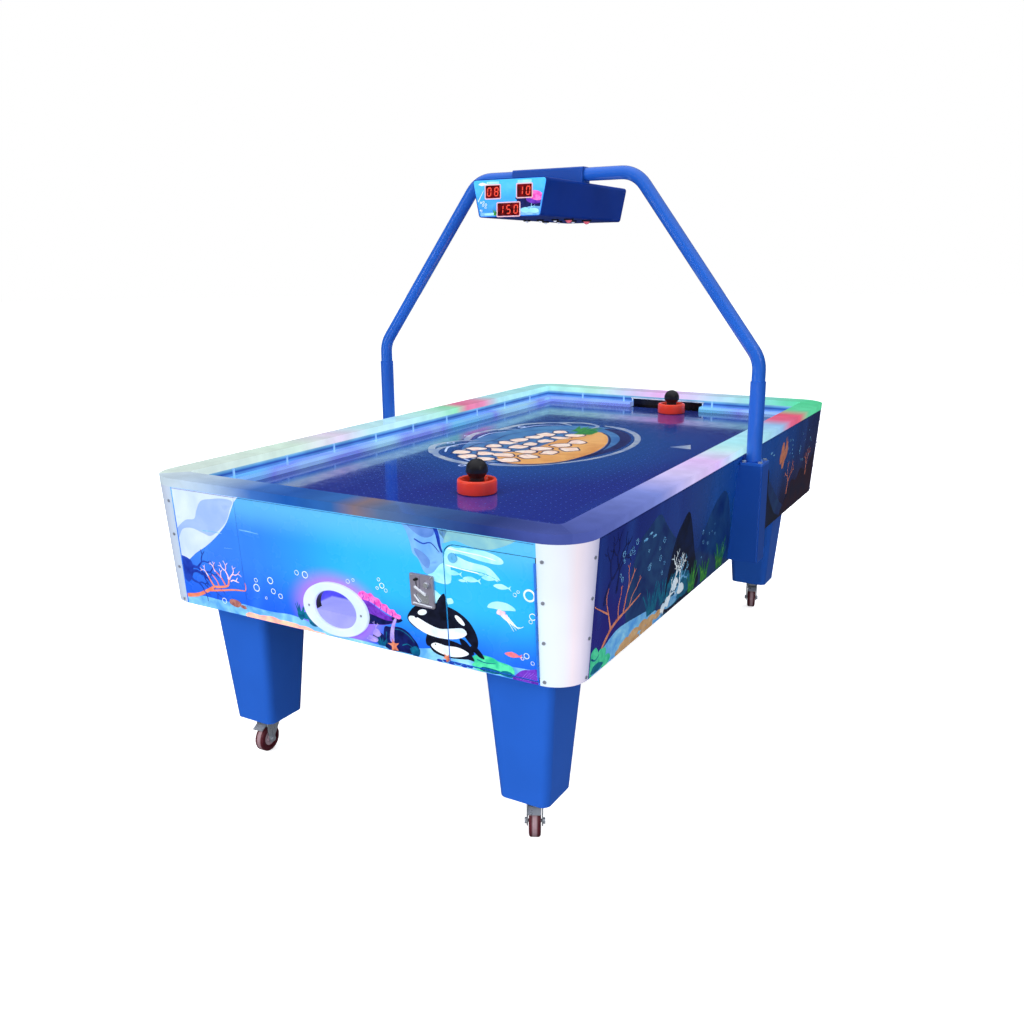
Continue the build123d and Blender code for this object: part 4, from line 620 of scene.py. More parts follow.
def stroke(points, thick, thin=None, closed=False, steps=5):
    """A ribbon along a smooth line, from thick to thin, as its two edges."""
    line = smooth(points, steps, closed) if len(points) > 2 or closed else [Vector(p) for p in points]
    thin = thick if thin is None else thin
    left, right = [], []
    count = len(line)
    for i, p in enumerate(line):
        before = line[i - 1] if (i or closed) else p
        after = line[(i + 1) % count] if (i < count - 1 or closed) else p
        heading = after - before
        side_way = Vector((-heading.y, heading.x))
        side_way = side_way.normalized() if side_way.length else Vector((0, 1))
        t = i / (count - 1)
        half = (thick + (thin - thick) * t) / 2
        if not closed:
            half *= min(1.0, 0.35 + 8 * t, 0.35 + 8 * (1 - t))
        left.append(p + side_way * half)
        right.append(p - side_way * half)
    return left, right, closed


def ellipse(x, y, across, up, turned=0.0, count=24):
    """An ellipse's outline from its middle and its half widths."""
    c, s = math.cos(turned), math.sin(turned)
    made = []
    for i in range(count):
        a = 2 * math.pi * i / count
        u, v = across * math.cos(a), up * math.sin(a)
        made.append(Vector((x + u * c - v * s, y + u * s + v * c)))
    return made


def blob(x, y, across, up, seed, wobble=0.16, count=9):
    """An uneven pebble or rock outline."""
    rng = random.Random(seed)
    points = []
    for i in range(count):
        a = 2 * math.pi * i / count
        k = 1 + rng.uniform(-wobble, wobble)
        points.append((x + across * k * math.cos(a), y + up * k * math.sin(a)))
    return smooth(points, 4)


def bubble(x, y, r, line=None):
    """A ring."""
    return stroke(ellipse(x, y, r, r, count=16), line or max(0.9, r * 0.22), closed=True, steps=2)


def bubbles(x, y, wide, high, count, size, seed):
    """Rings of mixed sizes, each with a short highlight."""
    rng = random.Random(seed)
    made = []
    for _ in range(count):
        px, py = x + rng.uniform(-wide, wide), y + rng.uniform(-high, high)
        r = size * rng.uniform(0.35, 1.0)
        made.append(bubble(px, py, r))
        if r > size * 0.6:
            made.append(ellipse(px - r * 0.35, py + r * 0.35, r * 0.22, r * 0.13, 0.7, 8))
    return made


def branches(x, y, heading, length, width, depth, seed, bend=0.35):
    """A branching coral as tapered strokes."""
    rng = random.Random(seed)
    made = []

    def grow(px, py, way, reach, thick, left):
        middle = (px + 0.5 * reach * math.cos(way + rng.uniform(-bend, bend)),
                  py + 0.5 * reach * math.sin(way + rng.uniform(-bend, bend)))
        end_at = (px + reach * math.cos(way), py + reach * math.sin(way))
        made.append(stroke([(px, py), middle, end_at], thick, thick * 0.62))
        if left:
            for turn_by in (rng.uniform(0.35, 0.75), -rng.uniform(0.35, 0.75)):
                grow(*end_at, way + turn_by, reach * rng.uniform(0.6, 0.85), thick * 0.62, left - 1)

    grow(x, y, heading, length, width, depth)
    return made


def blades(x, y, spread, height, count, seed, width=5.0, lean=0.25):
    """A tuft of pointed leaves."""
    rng = random.Random(seed)
    made = []
    for i in range(count):
        t = (i + 0.5) / count * 2 - 1
        tip = (x + t * spread + rng.uniform(-1, 1) * spread * lean, y + height * rng.uniform(0.55, 1.0))
        foot = (x + t * spread * 0.4, y)
        middle = ((tip[0] + foot[0]) / 2 - t * spread * 0.12, (tip[1] + foot[1]) / 2)
        made.append(stroke([foot, middle, tip], width, width * 0.15))
    return made


def star(x, y, r, turned=0.3, arms=5):
    """A starfish with soft points."""
    points = []
    for i in range(arms * 2):
        a = turned + math.pi * i / arms
        k = r if i % 2 == 0 else r * 0.42
        points.append((x + k * math.cos(a), y + k * math.sin(a)))
    return smooth(points, 3)


def fish(x, y, length, facing=1):
    """A plain fish outline: body, forked tail and a fin."""
    f, h = facing, length * 0.17
    body = [(0.5, 0.0), (0.28, 0.72), (-0.02, 0.9), (-0.26, 0.42), (-0.36, 0.2), (-0.52, 0.85),
            (-0.46, 0.0), (-0.52, -0.85), (-0.36, -0.2), (-0.2, -0.5), (0.06, -0.8), (0.3, -0.6)]
    return smooth([(x + f * length * a, y + h * b) for a, b in body], 3)


def each(maker, *calls):
    """One shape for each set of numbers."""
    return [maker(*numbers) for numbers in calls]


def joined(maker, *calls):
    """The shapes of several calls in one list."""
    return [shape for numbers in calls for shape in maker(*numbers)]


def sea_floor(*points):
    """Everything below an open smooth line across an end panel."""
    return smooth(points, 4, False) + [Vector((530, -10)), Vector((-530, -10))]


def top_shadow(reach):
    """The dark line under a panel's top edge."""
    return [stroke([(-reach, SHADOW_UP), (reach, SHADOW_UP)], 2.4)]


def flat_faces(shape, planes):
    """A bmesh of a flat shape, cut back to the inside of some half-planes (point, outward normal)."""
    made = bmesh.new()
    if isinstance(shape, tuple):
        left, right, closed = shape
        a = [made.verts.new((p[0], p[1], 0.0)) for p in left]
        b = [made.verts.new((p[0], p[1], 0.0)) for p in right]
        for i in range(len(a) if closed else len(a) - 1):
            j = (i + 1) % len(a)
            made.faces.new((a[i], b[i], b[j], a[j]))
    else:
        made.faces.new([made.verts.new((p[0], p[1], 0.0)) for p in shape])
    bmesh.ops.triangulate(made, faces=made.faces[:])
    for at, way in planes:
        everything = made.verts[:] + made.edges[:] + made.faces[:]
        bmesh.ops.bisect_plane(made, geom=everything, dist=1e-5, clear_outer=True,
                               plane_co=(*at, 0.0), plane_no=(*way, 0.0))
    bmesh.ops.triangulate(made, faces=made.faces[:])
    return made


FIRST_LAYER = 0.1    # mm from the panel to the top of its first ink
LAYER_RISE = 0.12    # mm from one ink to the next
LAYER_STEP = 0.004   # mm between two shapes of one ink, so that they never lie in one plane


def add_layer(verts, faces, shape, planes, lift, thick):
    """Adds a flat shape as a closed layer, from lift down by thick."""
    flat = flat_faces(shape, planes)
    flat.verts.ensure_lookup_table()
    flat.verts.index_update()
    if flat.faces:
        start, count = len(verts), len(flat.verts)
        verts += [(v.co.x, v.co.y, lift) for v in flat.verts]
        verts += [(v.co.x, v.co.y, lift - thick) for v in flat.verts]
        for f in flat.faces:
            corners = [v.index for v in f.verts]
            if f.normal.z < 0:
                corners.reverse()
            faces.append([start + i for i in corners])
            faces.append([start + count + i for i in reversed(corners)])
            for k, i in enumerate(corners):
                j = corners[(k + 1) % len(corners)]
                if len(flat.edges.get((flat.verts[i], flat.verts[j])).link_faces) == 1:
                    faces.append([start + j, start + i, start + count + i, start + count + j])
    flat.free()


def add_object(name, data):
    made = bpy.data.objects.new(name, data)
    SCENE.collection.objects.link(made)
    return made


def build(name, verts, faces, matrix, body, look, slot=None, smooth_angle=None):
    """A mesh piece that rides on a body, with its vertices given in matrix's plane."""
    mesh = bpy.data.meshes.new(name)
    mesh.from_pydata([tuple(matrix @ Vector(v)) for v in verts], [], faces)
    mesh.materials.append(look.material)
    made = add_object(name, mesh)
    if smooth_angle is not None:
        mesh.shade_smooth()
        mesh.set_sharp_from_angle(angle=math.radians(smooth_angle))
    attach(made, body)
    return made


def printed(name, shapes, where, tone, layer, body="cabinet", regions=((),), slot=None, thick=INK):
    """One ink's shapes on a plane. layer counts up from the surface; regions are sets of half-planes."""
    verts, faces = [], []
    for planes in regions:
        for i, shape in enumerate(shapes):
            lift = FIRST_LAYER + LAYER_RISE * layer + LAYER_STEP * i
            add_layer(verts, faces, shape, planes, lift, thick)
    if faces:
        build(name, verts, faces, where, body, INKS[tone], slot)


def at_most_x(x):
    return (x, 0.0), (1.0, 0.0)


def at_least_x(x):
    return (x, 0.0), (-1.0, 0.0)


def at_most_y(y):
    return (0.0, y), (0.0, 1.0)


def at_least_y(y):
    return (0.0, y), (0.0, -1.0)


# Limits of the print on an end panel, in mm from the middle of its foot.
EDGE, FOOT, TOP = 518.0, 0.6, 315.0
SHADOW_UP = 313.2                           # the dark line under the top edge
SEAM = 297.0 - 0.5                          # where the panel's print gives way to the service door's
DOOR_LEFT, DOOR_RIGHT = 299.5, 516.0        # print on the door
DOOR_LOW, DOOR_HIGH = 9.5, 281.5
DOOR_CORNER = 30.0
DOOR_GAP = 3.0
SHEET = (at_least_x(-EDGE), at_most_x(EDGE), at_least_y(FOOT), at_most_y(TOP))
BESIDE_DOOR = ((*SHEET, at_most_x(SEAM)),
               (*SHEET, at_least_x(SEAM), at_least_y(DOOR_HIGH + DOOR_GAP)),
               (*SHEET, at_least_x(SEAM), at_most_y(DOOR_LOW - DOOR_GAP)))


def corner_cuts(x, y, r, count=4):
    """Half-planes that round off the top left corner of a region."""
    cuts = []
    for i in range(count):
        a = math.radians(90 + 90 * (i + 0.5) / count)
        way = (math.cos(a), math.sin(a))
        cuts.append(((x + r + r * way[0], y - r + r * way[1]), way))
    return tuple(cuts)


ON_DOOR = ((at_least_x(DOOR_LEFT), at_most_x(DOOR_RIGHT), at_least_y(DOOR_LOW), at_most_y(DOOR_HIGH),
            *corner_cuts(DOOR_LEFT, DOOR_HIGH, DOOR_CORNER)),)


def front(name, shapes, tone, layer):
    """Prints on the front panel, and on the service door where the drawing crosses its seam."""
    printed(f"front_{name}", shapes, FRONT, tone, layer, "cabinet", BESIDE_DOOR, "end_print")
    printed(f"door_{name}", shapes, FRONT, tone, layer, "service_door", ON_DOOR, "end_print")


# ---------------------------------------------------------------- front scene

front_floor = sea_floor((-530, 20), (-470, 30), (-390, 29), (-320, 32), (-230, 29), (-160, 33), (-100, 24),
    (-30, 10), (60, 8), (130, 8), (215, 22), (270, 31), (356, 28), (426, 28), (530, 33))
front("seabed", [front_floor], "seabed", 0)
# A pale lilac sweep over the upper left, with a bluer band across it: a painted reflection on the panel's
# gloss, not part of the printed scene.
front("reflection_and_foam", [curve((-524, 108), (-494, 124), (-462, 148), (-428, 168), (-392, 194), (-360, 222),
    (-338, 246), (-320, 276), (-306, 300), (-290, 330), (-420, 340), (-524, 330))], "reflection_and_foam", 0)
front("reflection_fade", [curve((-520, 178), (-500, 206), (-466, 214), (-428, 206), (-400, 202), (-362, 226),
    (-338, 250), (-322, 280), (-310, 302), (-340, 306), (-384, 300), (-420, 290), (-440, 262), (-452, 240),
    (-486, 232), (-524, 200))], "reflection_fade", 1)
front("reef_shadow", [blob(-512, 100, 34, 34, 3, 0.22)]
    + joined(branches, (-500, 104, 0.10, 34, 11, 3, 5), (-494, 90, 0.0, 46, 10, 3, 8),
    (-500, 82, -0.5, 36, 8, 2, 4)), "navy", 2)
front("coral", each(stroke, ([(-524, 22), (-480, 30), (-440, 48), (-414, 63)], 11, 8),
    ([(-414, 63), (-388, 67), (-364, 75), (-358, 94)], 8, 4),
    ([(-432, 50), (-392, 57), (-346, 66), (-304, 70)], 6, 3),
    ([(-305, 70), (-302, 80), (-304, 92)], 3, 1.5), ([(-412, 62), (-424, 78), (-432, 92)], 6, 3),
    ([(-372, 72), (-384, 92), (-402, 108)], 5, 2), ([(-396, 66), (-402, 82), (-416, 96)], 4, 2)), "coral",
    3)
front("coral_tips", joined(branches, (-359, 92, 1.9, 24, 5, 2, 21), (-356, 92, 0.9, 22, 5, 2, 22),
    (-352, 88, 0.2, 18, 4, 1, 23), (-402, 106, 2.0, 14, 3.5, 2, 24), (-430, 90, 2.2, 14, 3.5, 2, 25),
    (-384, 92, 1.5, 16, 3, 1, 26)), "tips", 4)
front("pebbles", each(blob, (-346, 30, 24, 10, 31), (-318, 24, 10, 5, 32)), "brown", 3)
front("peach_rocks", each(blob, (-280, 5, 34, 9, 41), (-228, 6, 42, 11, 42), (-172, 5, 38, 9, 43),
    (-126, 3, 34, 7, 44), (-82, 0, 30, 5, 45)), "peach", 2)
front("weed", blades(-128, 30, 16, 48, 5, 51, 8) + each(blob, (-108, 40, 15, 10, 52), (-88, 26, 15, 9, 53),
    (-128, 38, 10, 12, 54)) + blades(-92, 20, 22, 22, 5, 55, 6), "teal", 3)
front("bubbles", each(bubble, (-265, 86, 9), (-216, 113, 8), (-210, 86, 6.5), (-188, 77, 6), (-101, 147, 8),
    (-127, 148, 6), (-264, 106, 5), (-236, 64, 3), (-384, 30, 7), (28, 152, 5), (44, 158, 3.5),
    (504, 200, 12, 4), (470, 196, 4), (478, 204, 3), (510, 154, 7), (505, 142, 4), (118, 172, 4),
    (126, 158, 6), (112, 150, 3.5), (136, 148, 4), (492, 62, 6), (482, 54, 3.5), (506, 48, 4)), "white", 4)
front("streaks", each(stroke, ([(-428, 212), (-396, 214), (-360, 213)], 3, 1),
    ([(-300, 232), (-262, 231), (-236, 229)], 3, 1), ([(-360, 176), (-330, 178)], 2, 1)), "sky", 3)
front("clam_body", [curve((60, 116), (84, 112), (112, 98), (140, 86), (166, 84), (160, 74), (126, 62),
    (98, 58), (70, 56), (56, 80))], "purple", 2)
front("clam_shade", [curve((66, 84), (96, 80), (130, 74), (156, 76), (126, 63), (96, 58), (70, 58))],
    "midnight", 3)
front("clam_lip", [curve((56, 128), (70, 136), (82, 131), (92, 134), (102, 126), (113, 124), (122, 114),
    (134, 113), (142, 104), (154, 104), (161, 96), (172, 93), (168, 84), (152, 86), (134, 92), (112, 102),
    (90, 112), (60, 116))], "pink", 4)
front("clam_ribs", [stroke([(66 + 16 * i, 116 - 6 * i), (70 + 16 * i, 122 - 6 * i),
    (68 + 16 * i, 130 - 6 * i)], 2.6, 1.2) for i in range(6)], "purple", 5)
front("chest", [curve((122, 54), (140, 60), (166, 64), (186, 58), (200, 46), (214, 28), (213, 6), (170, 3),
    (122, 6)), blob(104, 26, 18, 14, 61), blob(160, 82, 14, 8, 62)], "midnight", 3)
front("chest_lights", each(stroke, ([(140, 54), (166, 58), (190, 48), (204, 34)], 2.4, 1.2),
    ([(170, 20), (184, 26), (196, 22)], 3, 1.5), ([(128, 46), (126, 30), (128, 14)], 2, 1)), "teal", 4)
front("pillar", [stroke([(158, 84), (150, 68), (144, 46), (142, 22)], 6, 13)], "lilac", 5)
front("starfish", each(star, (146, 15, 17, 0.5), (290, 15, 12, 0.9)), "rust", 6)
front("shore_coral", each(blob, (100, 36, 12, 10, 63), (86, 20, 16, 7, 64))
    + branches(96, 40, 1.4, 12, 4, 2, 65), "lilac", 5)
front("shore_weed", blades(112, 8, 20, 24, 6, 66, 6) + [blob(206, 12, 14, 12, 67)], "teal", 5)

front("orca", [curve((190, 92), (199, 110), (216, 126), (246, 137), (280, 141), (316, 135), (348, 118),
    (367, 94), (374, 70), (368, 52), (352, 62), (334, 78), (300, 70), (262, 64), (222, 68), (200, 78)),
    smooth([(272, 138), (280, 156), (292, 168), (297, 158), (300, 138)], 3),
    smooth([(246, 68), (236, 48), (240, 34), (254, 40), (268, 66)], 3),
    smooth([(340, 66), (356, 50), (362, 38), (350, 34), (334, 48), (326, 68)], 3),
    smooth([(366, 58), (380, 46), (388, 32), (374, 34), (360, 44), (346, 34), (350, 46), (356, 58)], 3)],
    "black", 3)
front("orca_belly", [curve((194, 88), (212, 74), (244, 62), (286, 60), (324, 68), (346, 82), (336, 94),
    (306, 88), (276, 82), (246, 88), (218, 98), (198, 98)), ellipse(232, 113, 13, 6.5, 0.35),
    ellipse(330, 112, 15, 6, -0.7)], "white", 4)
front("calf", [curve((244, 40), (258, 56), (290, 60), (330, 54), (352, 38), (362, 22), (346, 22), (318, 18),
    (284, 16), (256, 22))], "black", 5)
front("calf_belly", [curve((250, 36), (270, 24), (304, 20), (336, 28), (348, 38), (322, 46), (290, 44),
    (262, 46))], "white", 6)
front("orca_eye", [ellipse(214, 99, 3.4, 2.6), ellipse(262, 42, 2.2, 1.8)], "black", 7)
front("splash", [curve((262, 166), (270, 172), (280, 166), (290, 160), (300, 158), (312, 160), (316, 150),
    (300, 144), (280, 141), (266, 146))], "ice", 2)
front("rock_face", [curve((194, 330), (204, 300), (212, 276), (218, 250), (232, 238), (244, 212),
    (262, 204), (296, 200), (306, 240), (300, 280), (308, 330))], "stone", 1)
front("rock_facets", [smooth([(206, 320), (224, 300), (252, 290), (276, 300), (270, 320)], 3),
    smooth([(222, 262), (244, 256), (262, 240), (258, 222), (246, 224), (230, 244)], 3)], "shadow", 2)
front("rock_cracks", each(stroke, ([(276, 330), (286, 300), (290, 276), (296, 262)], 12, 4),
    ([(224, 284), (246, 276), (268, 280), (288, 262)], 4, 2)), "navy", 3)
front("arch_stone", [curve((298, 330), (300, 294), (326, 300), (360, 290), (400, 286), (430, 292),
    (444, 304), (430, 330)), curve((300, 286), (330, 294), (370, 286), (412, 286), (452, 300), (480, 318),
    (470, 330), (420, 326), (330, 326))], "ash", 1)
front("ice_blocks", [curve((300, 282), (330, 278), (372, 284), (410, 280), (438, 272), (446, 262),
    (430, 256), (390, 258), (340, 266), (300, 262)), curve((300, 260), (324, 262), (360, 252), (404, 248),
    (424, 236), (436, 222), (426, 224), (396, 232), (350, 234), (300, 238)),
    curve((254, 204), (270, 214), (290, 236), (312, 240), (312, 196), (276, 192))], "ice", 2)
front("ice_edges", each(stroke, ([(304, 276), (340, 272), (390, 270), (430, 264)], 3, 1.5),
    ([(302, 236), (344, 232), (398, 228), (432, 220)], 3, 1.5)), "white", 3)
front("shoal", each(fish, (322, 220, 40, -1), (366, 212, 44, -1), (410, 222, 38, -1), (440, 208, 42, -1),
    (344, 206, 22, -1), (392, 228, 20, -1)), "ice", 4)
front("jellyfish", [curve((402, 156), (408, 166), (424, 173), (446, 174), (464, 168), (470, 160),
    (456, 158), (436, 155), (418, 156))], "ice", 3)
front("jelly_body", each(blob, (436, 149, 10, 7, 71, 0.25), (446, 142, 6, 5, 72, 0.25)), "tips", 4)
front("tentacles", [stroke([(426 + 6 * i, 152 - 2 * i), (438 + 7 * i, 140 - 3 * i),
    (452 + 6 * i, 130 - 2 * i), (464 + 6 * i, 112 + 4 * i)], 2.2, 0.8) for i in range(5)], "white", 3)
front("panel_seam", [stroke([(-305, -2), (-305, 320)], 1.0)], "navy", 5)
front("top_shadow", top_shadow(530), "outline", 6)
front("small_fish", [fish(460, 57, 42, -1), blob(456, 60, 6, 4, 73)], "red", 3)
front("green_rocks", each(blob, (388, 30, 32, 13, 74), (424, 20, 38, 16, 75), (376, 12, 22, 10, 76)),
    "green", 2)
front("rock_moss", [blob(402, 8, 30, 6, 77), blob(444, 8, 20, 7, 78),
    stroke([(368, 28), (390, 24), (416, 28)], 3, 1)], "teal", 3)
front("fan", [curve((456, 2), (466, 14), (480, 26), (498, 31), (524, 34), (524, -4), (480, -4))], "purple",
    4)
front("fan_ribs", [stroke([(474 + 6 * i, 2), (484 + 6 * i, 14), (494 + 7 * i, 26)], 2.0, 1.0)
    for i in range(5)], "violet", 5)
front("beach_bits", [blob(270 + 16 * i, 4 + (i % 2) * 2, 8, 3, 80 + i) for i in range(6)], "navy", 3)

# ---------------------------------------------------------------- side scenes

SIDE_EDGE, POST_CLEAR = 979.0, 38.0   # the print stops short of the ends and of the arch's post
SIDE_REGIONS = ((at_least_x(-SIDE_EDGE), at_most_x(-POST_CLEAR), at_least_y(FOOT), at_most_y(TOP)),
                (at_least_x(POST_CLEAR), at_most_x(SIDE_EDGE), at_least_y(FOOT), at_most_y(TOP)))


def sides(name, shapes, tone, layer):
    """Prints on both side panels."""
    for label, where in (("right", RIGHT), ("left", LEFT)):
        printed(f"{label}_{name}", shapes, where, tone, layer, "cabinet", SIDE_REGIONS, "side_print")


sides("hills", [curve((-760, 240), (-700, 270), (-640, 286), (-590, 250), (-520, 200), (-440, 160),
    (-340, 110), (-300, 150), (-220, 214), (-130, 236), (-60, 150), (-30, 60), (20, 10), (-400, -10),
    (-760, 40), (-800, 140)), curve((120, 60), (220, 150), (300, 190), (420, 120), (520, 60), (600, 10),
    (300, -10), (120, 0))], "hill", 0)
sides("crags", [curve((-560, 40), (-540, 120), (-512, 190), (-470, 226), (-430, 244), (-396, 200),
    (-360, 130), (-330, 80), (-300, 10), (-440, -6), (-560, 0)),
    curve((150, -10), (160, 90), (200, 150), (250, 190), (290, 214), (330, 200), (350, 130), (400, 80),
    (470, 30), (560, -10)), curve((700, -10), (760, 60), (840, 100), (930, 80), (1000, 120), (1000, -10))],
    "crag", 1)
sides("wine_rocks", [curve((560, -10), (600, 60), (660, 110), (720, 96), (780, 130), (860, 110), (940, 150),
    (1000, 150), (1000, -10)), curve((270, 180), (284, 214), (306, 220), (326, 190), (310, 150),
    (284, 150))], "wine", 2)
sides("slab", [curve((-1000, 20), (-940, 40), (-890, 57), (-850, 66), (-808, 66), (-740, 60), (-682, 54),
    (-640, 46), (-600, 30), (-560, 14), (-560, -10), (-1000, -10))], "seabed", 1)
sides("tan_rocks", each(blob, (-792, 14, 30, 13, 91), (-742, 20, 30, 13, 92), (-690, 24, 30, 12, 93),
    (-640, 22, 30, 11, 94), (-592, 18, 26, 10, 95), (-820, 6, 24, 10, 96), (-660, 6, 40, 9, 97),
    (-740, 3, 36, 8, 98)), "sand", 3)
sides("near_rocks", each(blob, (-960, 34, 26, 26, 101), (-922, 30, 24, 22, 102), (-986, 14, 20, 22, 103),
    (-898, 12, 22, 14, 104)), "green", 3)
sides("near_moss", [blob(-944, 12, 30, 10, 105), stroke([(-976, 44), (-956, 34), (-936, 40)], 5, 2)],
    "teal", 4)
sides("shadow_coral", joined(branches, (-930, 150, 1.1, 60, 12, 3, 111, 0.5),
    (-870, 160, 1.4, 52, 10, 3, 112, 0.5)), "midnight", 2)
sides("coral", each(stroke, ([(-926, 50), (-884, 80), (-846, 92), (-818, 96)], 10, 7),
    ([(-820, 96), (-812, 124), (-806, 142), (-786, 168)], 7, 3),
    ([(-818, 96), (-770, 104), (-720, 114)], 6, 3), ([(-884, 80), (-900, 116), (-916, 148)], 7, 3),
    ([(-906, 124), (-936, 140), (-974, 160)], 5, 2), ([(-806, 142), (-800, 166), (-806, 190)], 4, 2),
    ([(-786, 102), (-772, 126), (-748, 140)], 4, 2), ([(-846, 92), (-850, 122), (-842, 146)], 5, 2),
    ([(-916, 148), (-920, 166), (-912, 186)], 4, 2)), "rust", 3)
sides("coral_tips", joined(branches, (-786, 168, 0.9, 16, 4, 1, 113), (-806, 188, 1.7, 14, 3, 1, 114),
    (-974, 160, 2.6, 14, 3, 1, 115), (-748, 140, 0.8, 16, 3, 1, 116), (-842, 146, 1.5, 14, 3, 1, 117)),
    "coral", 4)
sides("grass", joined(blades, (-640, 36, 60, 80, 9, 121, 11), (-560, 40, 70, 76, 9, 122, 11))
    + each(blob, (-480, 56, 60, 50, 123), (-420, 46, 46, 40, 124)), "teal", 2)
sides("pale_coral", each(blob, (-530, 34, 20, 16, 131, 0.4), (-484, 66, 22, 12, 132, 0.4),
    (-440, 40, 24, 12, 133, 0.4), (-560, 22, 14, 12, 134, 0.3))
    + joined(branches, (-500, 50, 1.2, 40, 10, 3, 135, 0.6), (-450, 50, 1.7, 34, 9, 3, 136, 0.6),
    (-540, 30, 0.5, 30, 9, 3, 137, 0.6)), "white", 5)
sides("coral_shade", branches(-480, 36, 0.7, 40, 12, 3, 138, 0.6) + [blob(-500, 24, 50, 12, 139, 0.3)],
    "sky", 4)
sides("weed", joined(blades, (-352, 6, 46, 90, 8, 141, 12), (-250, 6, 60, 70, 8, 142, 12),
    (-120, 6, 60, 90, 8, 143, 12), (110, 4, 60, 70, 8, 144, 12)), "leaf", 4)
sides("far_coral", each(blob, (470, 236, 20, 30, 151, 0.35), (500, 216, 22, 30, 152, 0.35),
    (524, 246, 12, 24, 153, 0.35)) + branches(500, 232, 1.2, 26, 8, 2, 154), "rust", 4)
sides("far_fan", joined(branches, (600, 70, 1.5, 44, 9, 3, 155), (860, 90, 1.7, 40, 9, 3, 156)), "coral", 5)
sides("bubbles", joined(bubbles, (-840, 220, 70, 40, 9, 7, 161), (-640, 170, 60, 50, 9, 7, 162),
    (600, 230, 60, 40, 10, 6, 163), (800, 220, 90, 60, 12, 6, 164), (-240, 110, 60, 50, 8, 6, 165)), "sky",
    5)
sides("top_shadow", top_shadow(990), "outline", 6)
sides("shoal", each(fish, (-720, 244, 26), (-690, 252, 20), (-664, 240, 22), (330, 262, 26, -1),
    (362, 250, 20, -1)), "sky", 5)

# ---------------------------------------------------------------- back scene

PORT_CLEAR = 112.0   # the print keeps clear of the puck return port
BACK_REGIONS = ((*SHEET, at_most_x(-PORT_CLEAR)), (*SHEET, at_least_x(PORT_CLEAR)))


def back(name, shapes, tone, layer, regions=BACK_REGIONS):
    """Prints on the back panel."""
    printed(f"back_{name}", shapes, BACK, tone, layer, "cabinet", regions, "end_print")


back("seabed", [sea_floor((-530, 30), (-440, 26), (-340, 30), (-200, 20), (-60, 4), (60, 6), (200, 24),
    (320, 34), (420, 24), (530, 34))], "seabed", 0, (SHEET,))
back("hills", [curve((150, -4), (210, 70), (280, 110), (350, 96), (430, 150), (540, 120), (540, -10))],
    "hill", 1)
back("reef", joined(branches, (-470, 26, 1.5, 52, 12, 4, 201), (-420, 24, 1.2, 40, 9, 3, 202)), "navy", 2)
back("coral", joined(branches, (-480, 20, 1.2, 60, 11, 3, 203), (250, 24, 1.7, 56, 11, 3, 204)), "coral", 3)
back("rocks", each(blob, (180, 10, 40, 12, 205), (240, 12, 42, 14, 206), (-180, 10, 40, 12, 207),
    (-240, 8, 30, 10, 208)), "peach", 3)
back("green", each(blob, (400, 22, 40, 18, 209), (450, 16, 40, 16, 210), (-430, 14, 36, 14, 211)), "green",
    3)
back("weed", joined(blades, (340, 20, 40, 80, 8, 212, 9), (-380, 16, 30, 60, 7, 213, 8)), "teal", 3)
back("bubbles", joined(bubbles, (-380, 170, 110, 60, 12, 8, 214), (300, 210, 150, 60, 14, 8, 215)), "white",
    4)
back("fish", each(fish, (200, 180, 60), (270, 206, 44), (240, 150, 36), (-200, 220, 54, -1),
    (-260, 200, 36, -1)), "ice", 4)
back("top_shadow", top_shadow(530), "outline", 6, (SHEET,))
back("star", each(star, (330, 14, 15, 0.4), (-340, 14, 13, 0.9)), "rust", 5)

# ---------------------------------------------------------------- playfield emblem


OVAL = (-70.0, 100.0)                    # the emblem's middle, mm
TABLE_LAYER, TABLE_INK = 0.35, 0.08      # thinner layers than the panels' own


def table_print(name, shapes, tone, layer):
    """Prints on the playfield."""
    printed(f"emblem_{name}", shapes, TABLE, tone, layer * TABLE_LAYER, "cabinet", ((),),
            "playfield_gloss", TABLE_INK)


def oval_arc(radius_x, radius_y, start, stop, count=12):
    """Points on an oval about the emblem's middle, between two angles in degrees."""
    return [(OVAL[0] + radius_x * math.cos(math.radians(start + (stop - start) * i / count)),
             OVAL[1] + radius_y * math.sin(math.radians(start + (stop - start) * i / count)))
            for i in range(count + 1)]


table_print("ring", [stroke(oval_arc(276, 392, -70, 84), 10, 26)], "wave", 0)
table_print("water", [smooth(oval_arc(250, 360, 0, 330, 12), 4)], "surf", 1)
table_print("crescent", [stroke(oval_arc(236, 344, -64, 76), 24, 44)], "outline", 2)
table_print("crescent_grid", [stroke([(OVAL[0] + 222 * math.cos(a), OVAL[1] + 328 * math.sin(a)),
    (OVAL[0] + 252 * math.cos(a), OVAL[1] + 362 * math.sin(a))], 3)
    for a in [math.radians(-40 + 6 * i) for i in range(19)]], "hill", 3)
table_print("beach", [curve((0, 360), (60, 290), (112, 170), (138, 40), (132, -80), (108, -170), (50, -236),
    (-20, -256), (-80, -210), (-120, -140), (-70, -60), (-60, 60), (-60, 180), (-40, 290))], "beach", 3)
table_print("beach_edge", [stroke([(0, 366), (66, 290), (118, 172), (146, 40), (140, -84), (114, -176),
    (54, -246), (-20, -268), (-84, -222)], 7, 9)], "outline", 4)
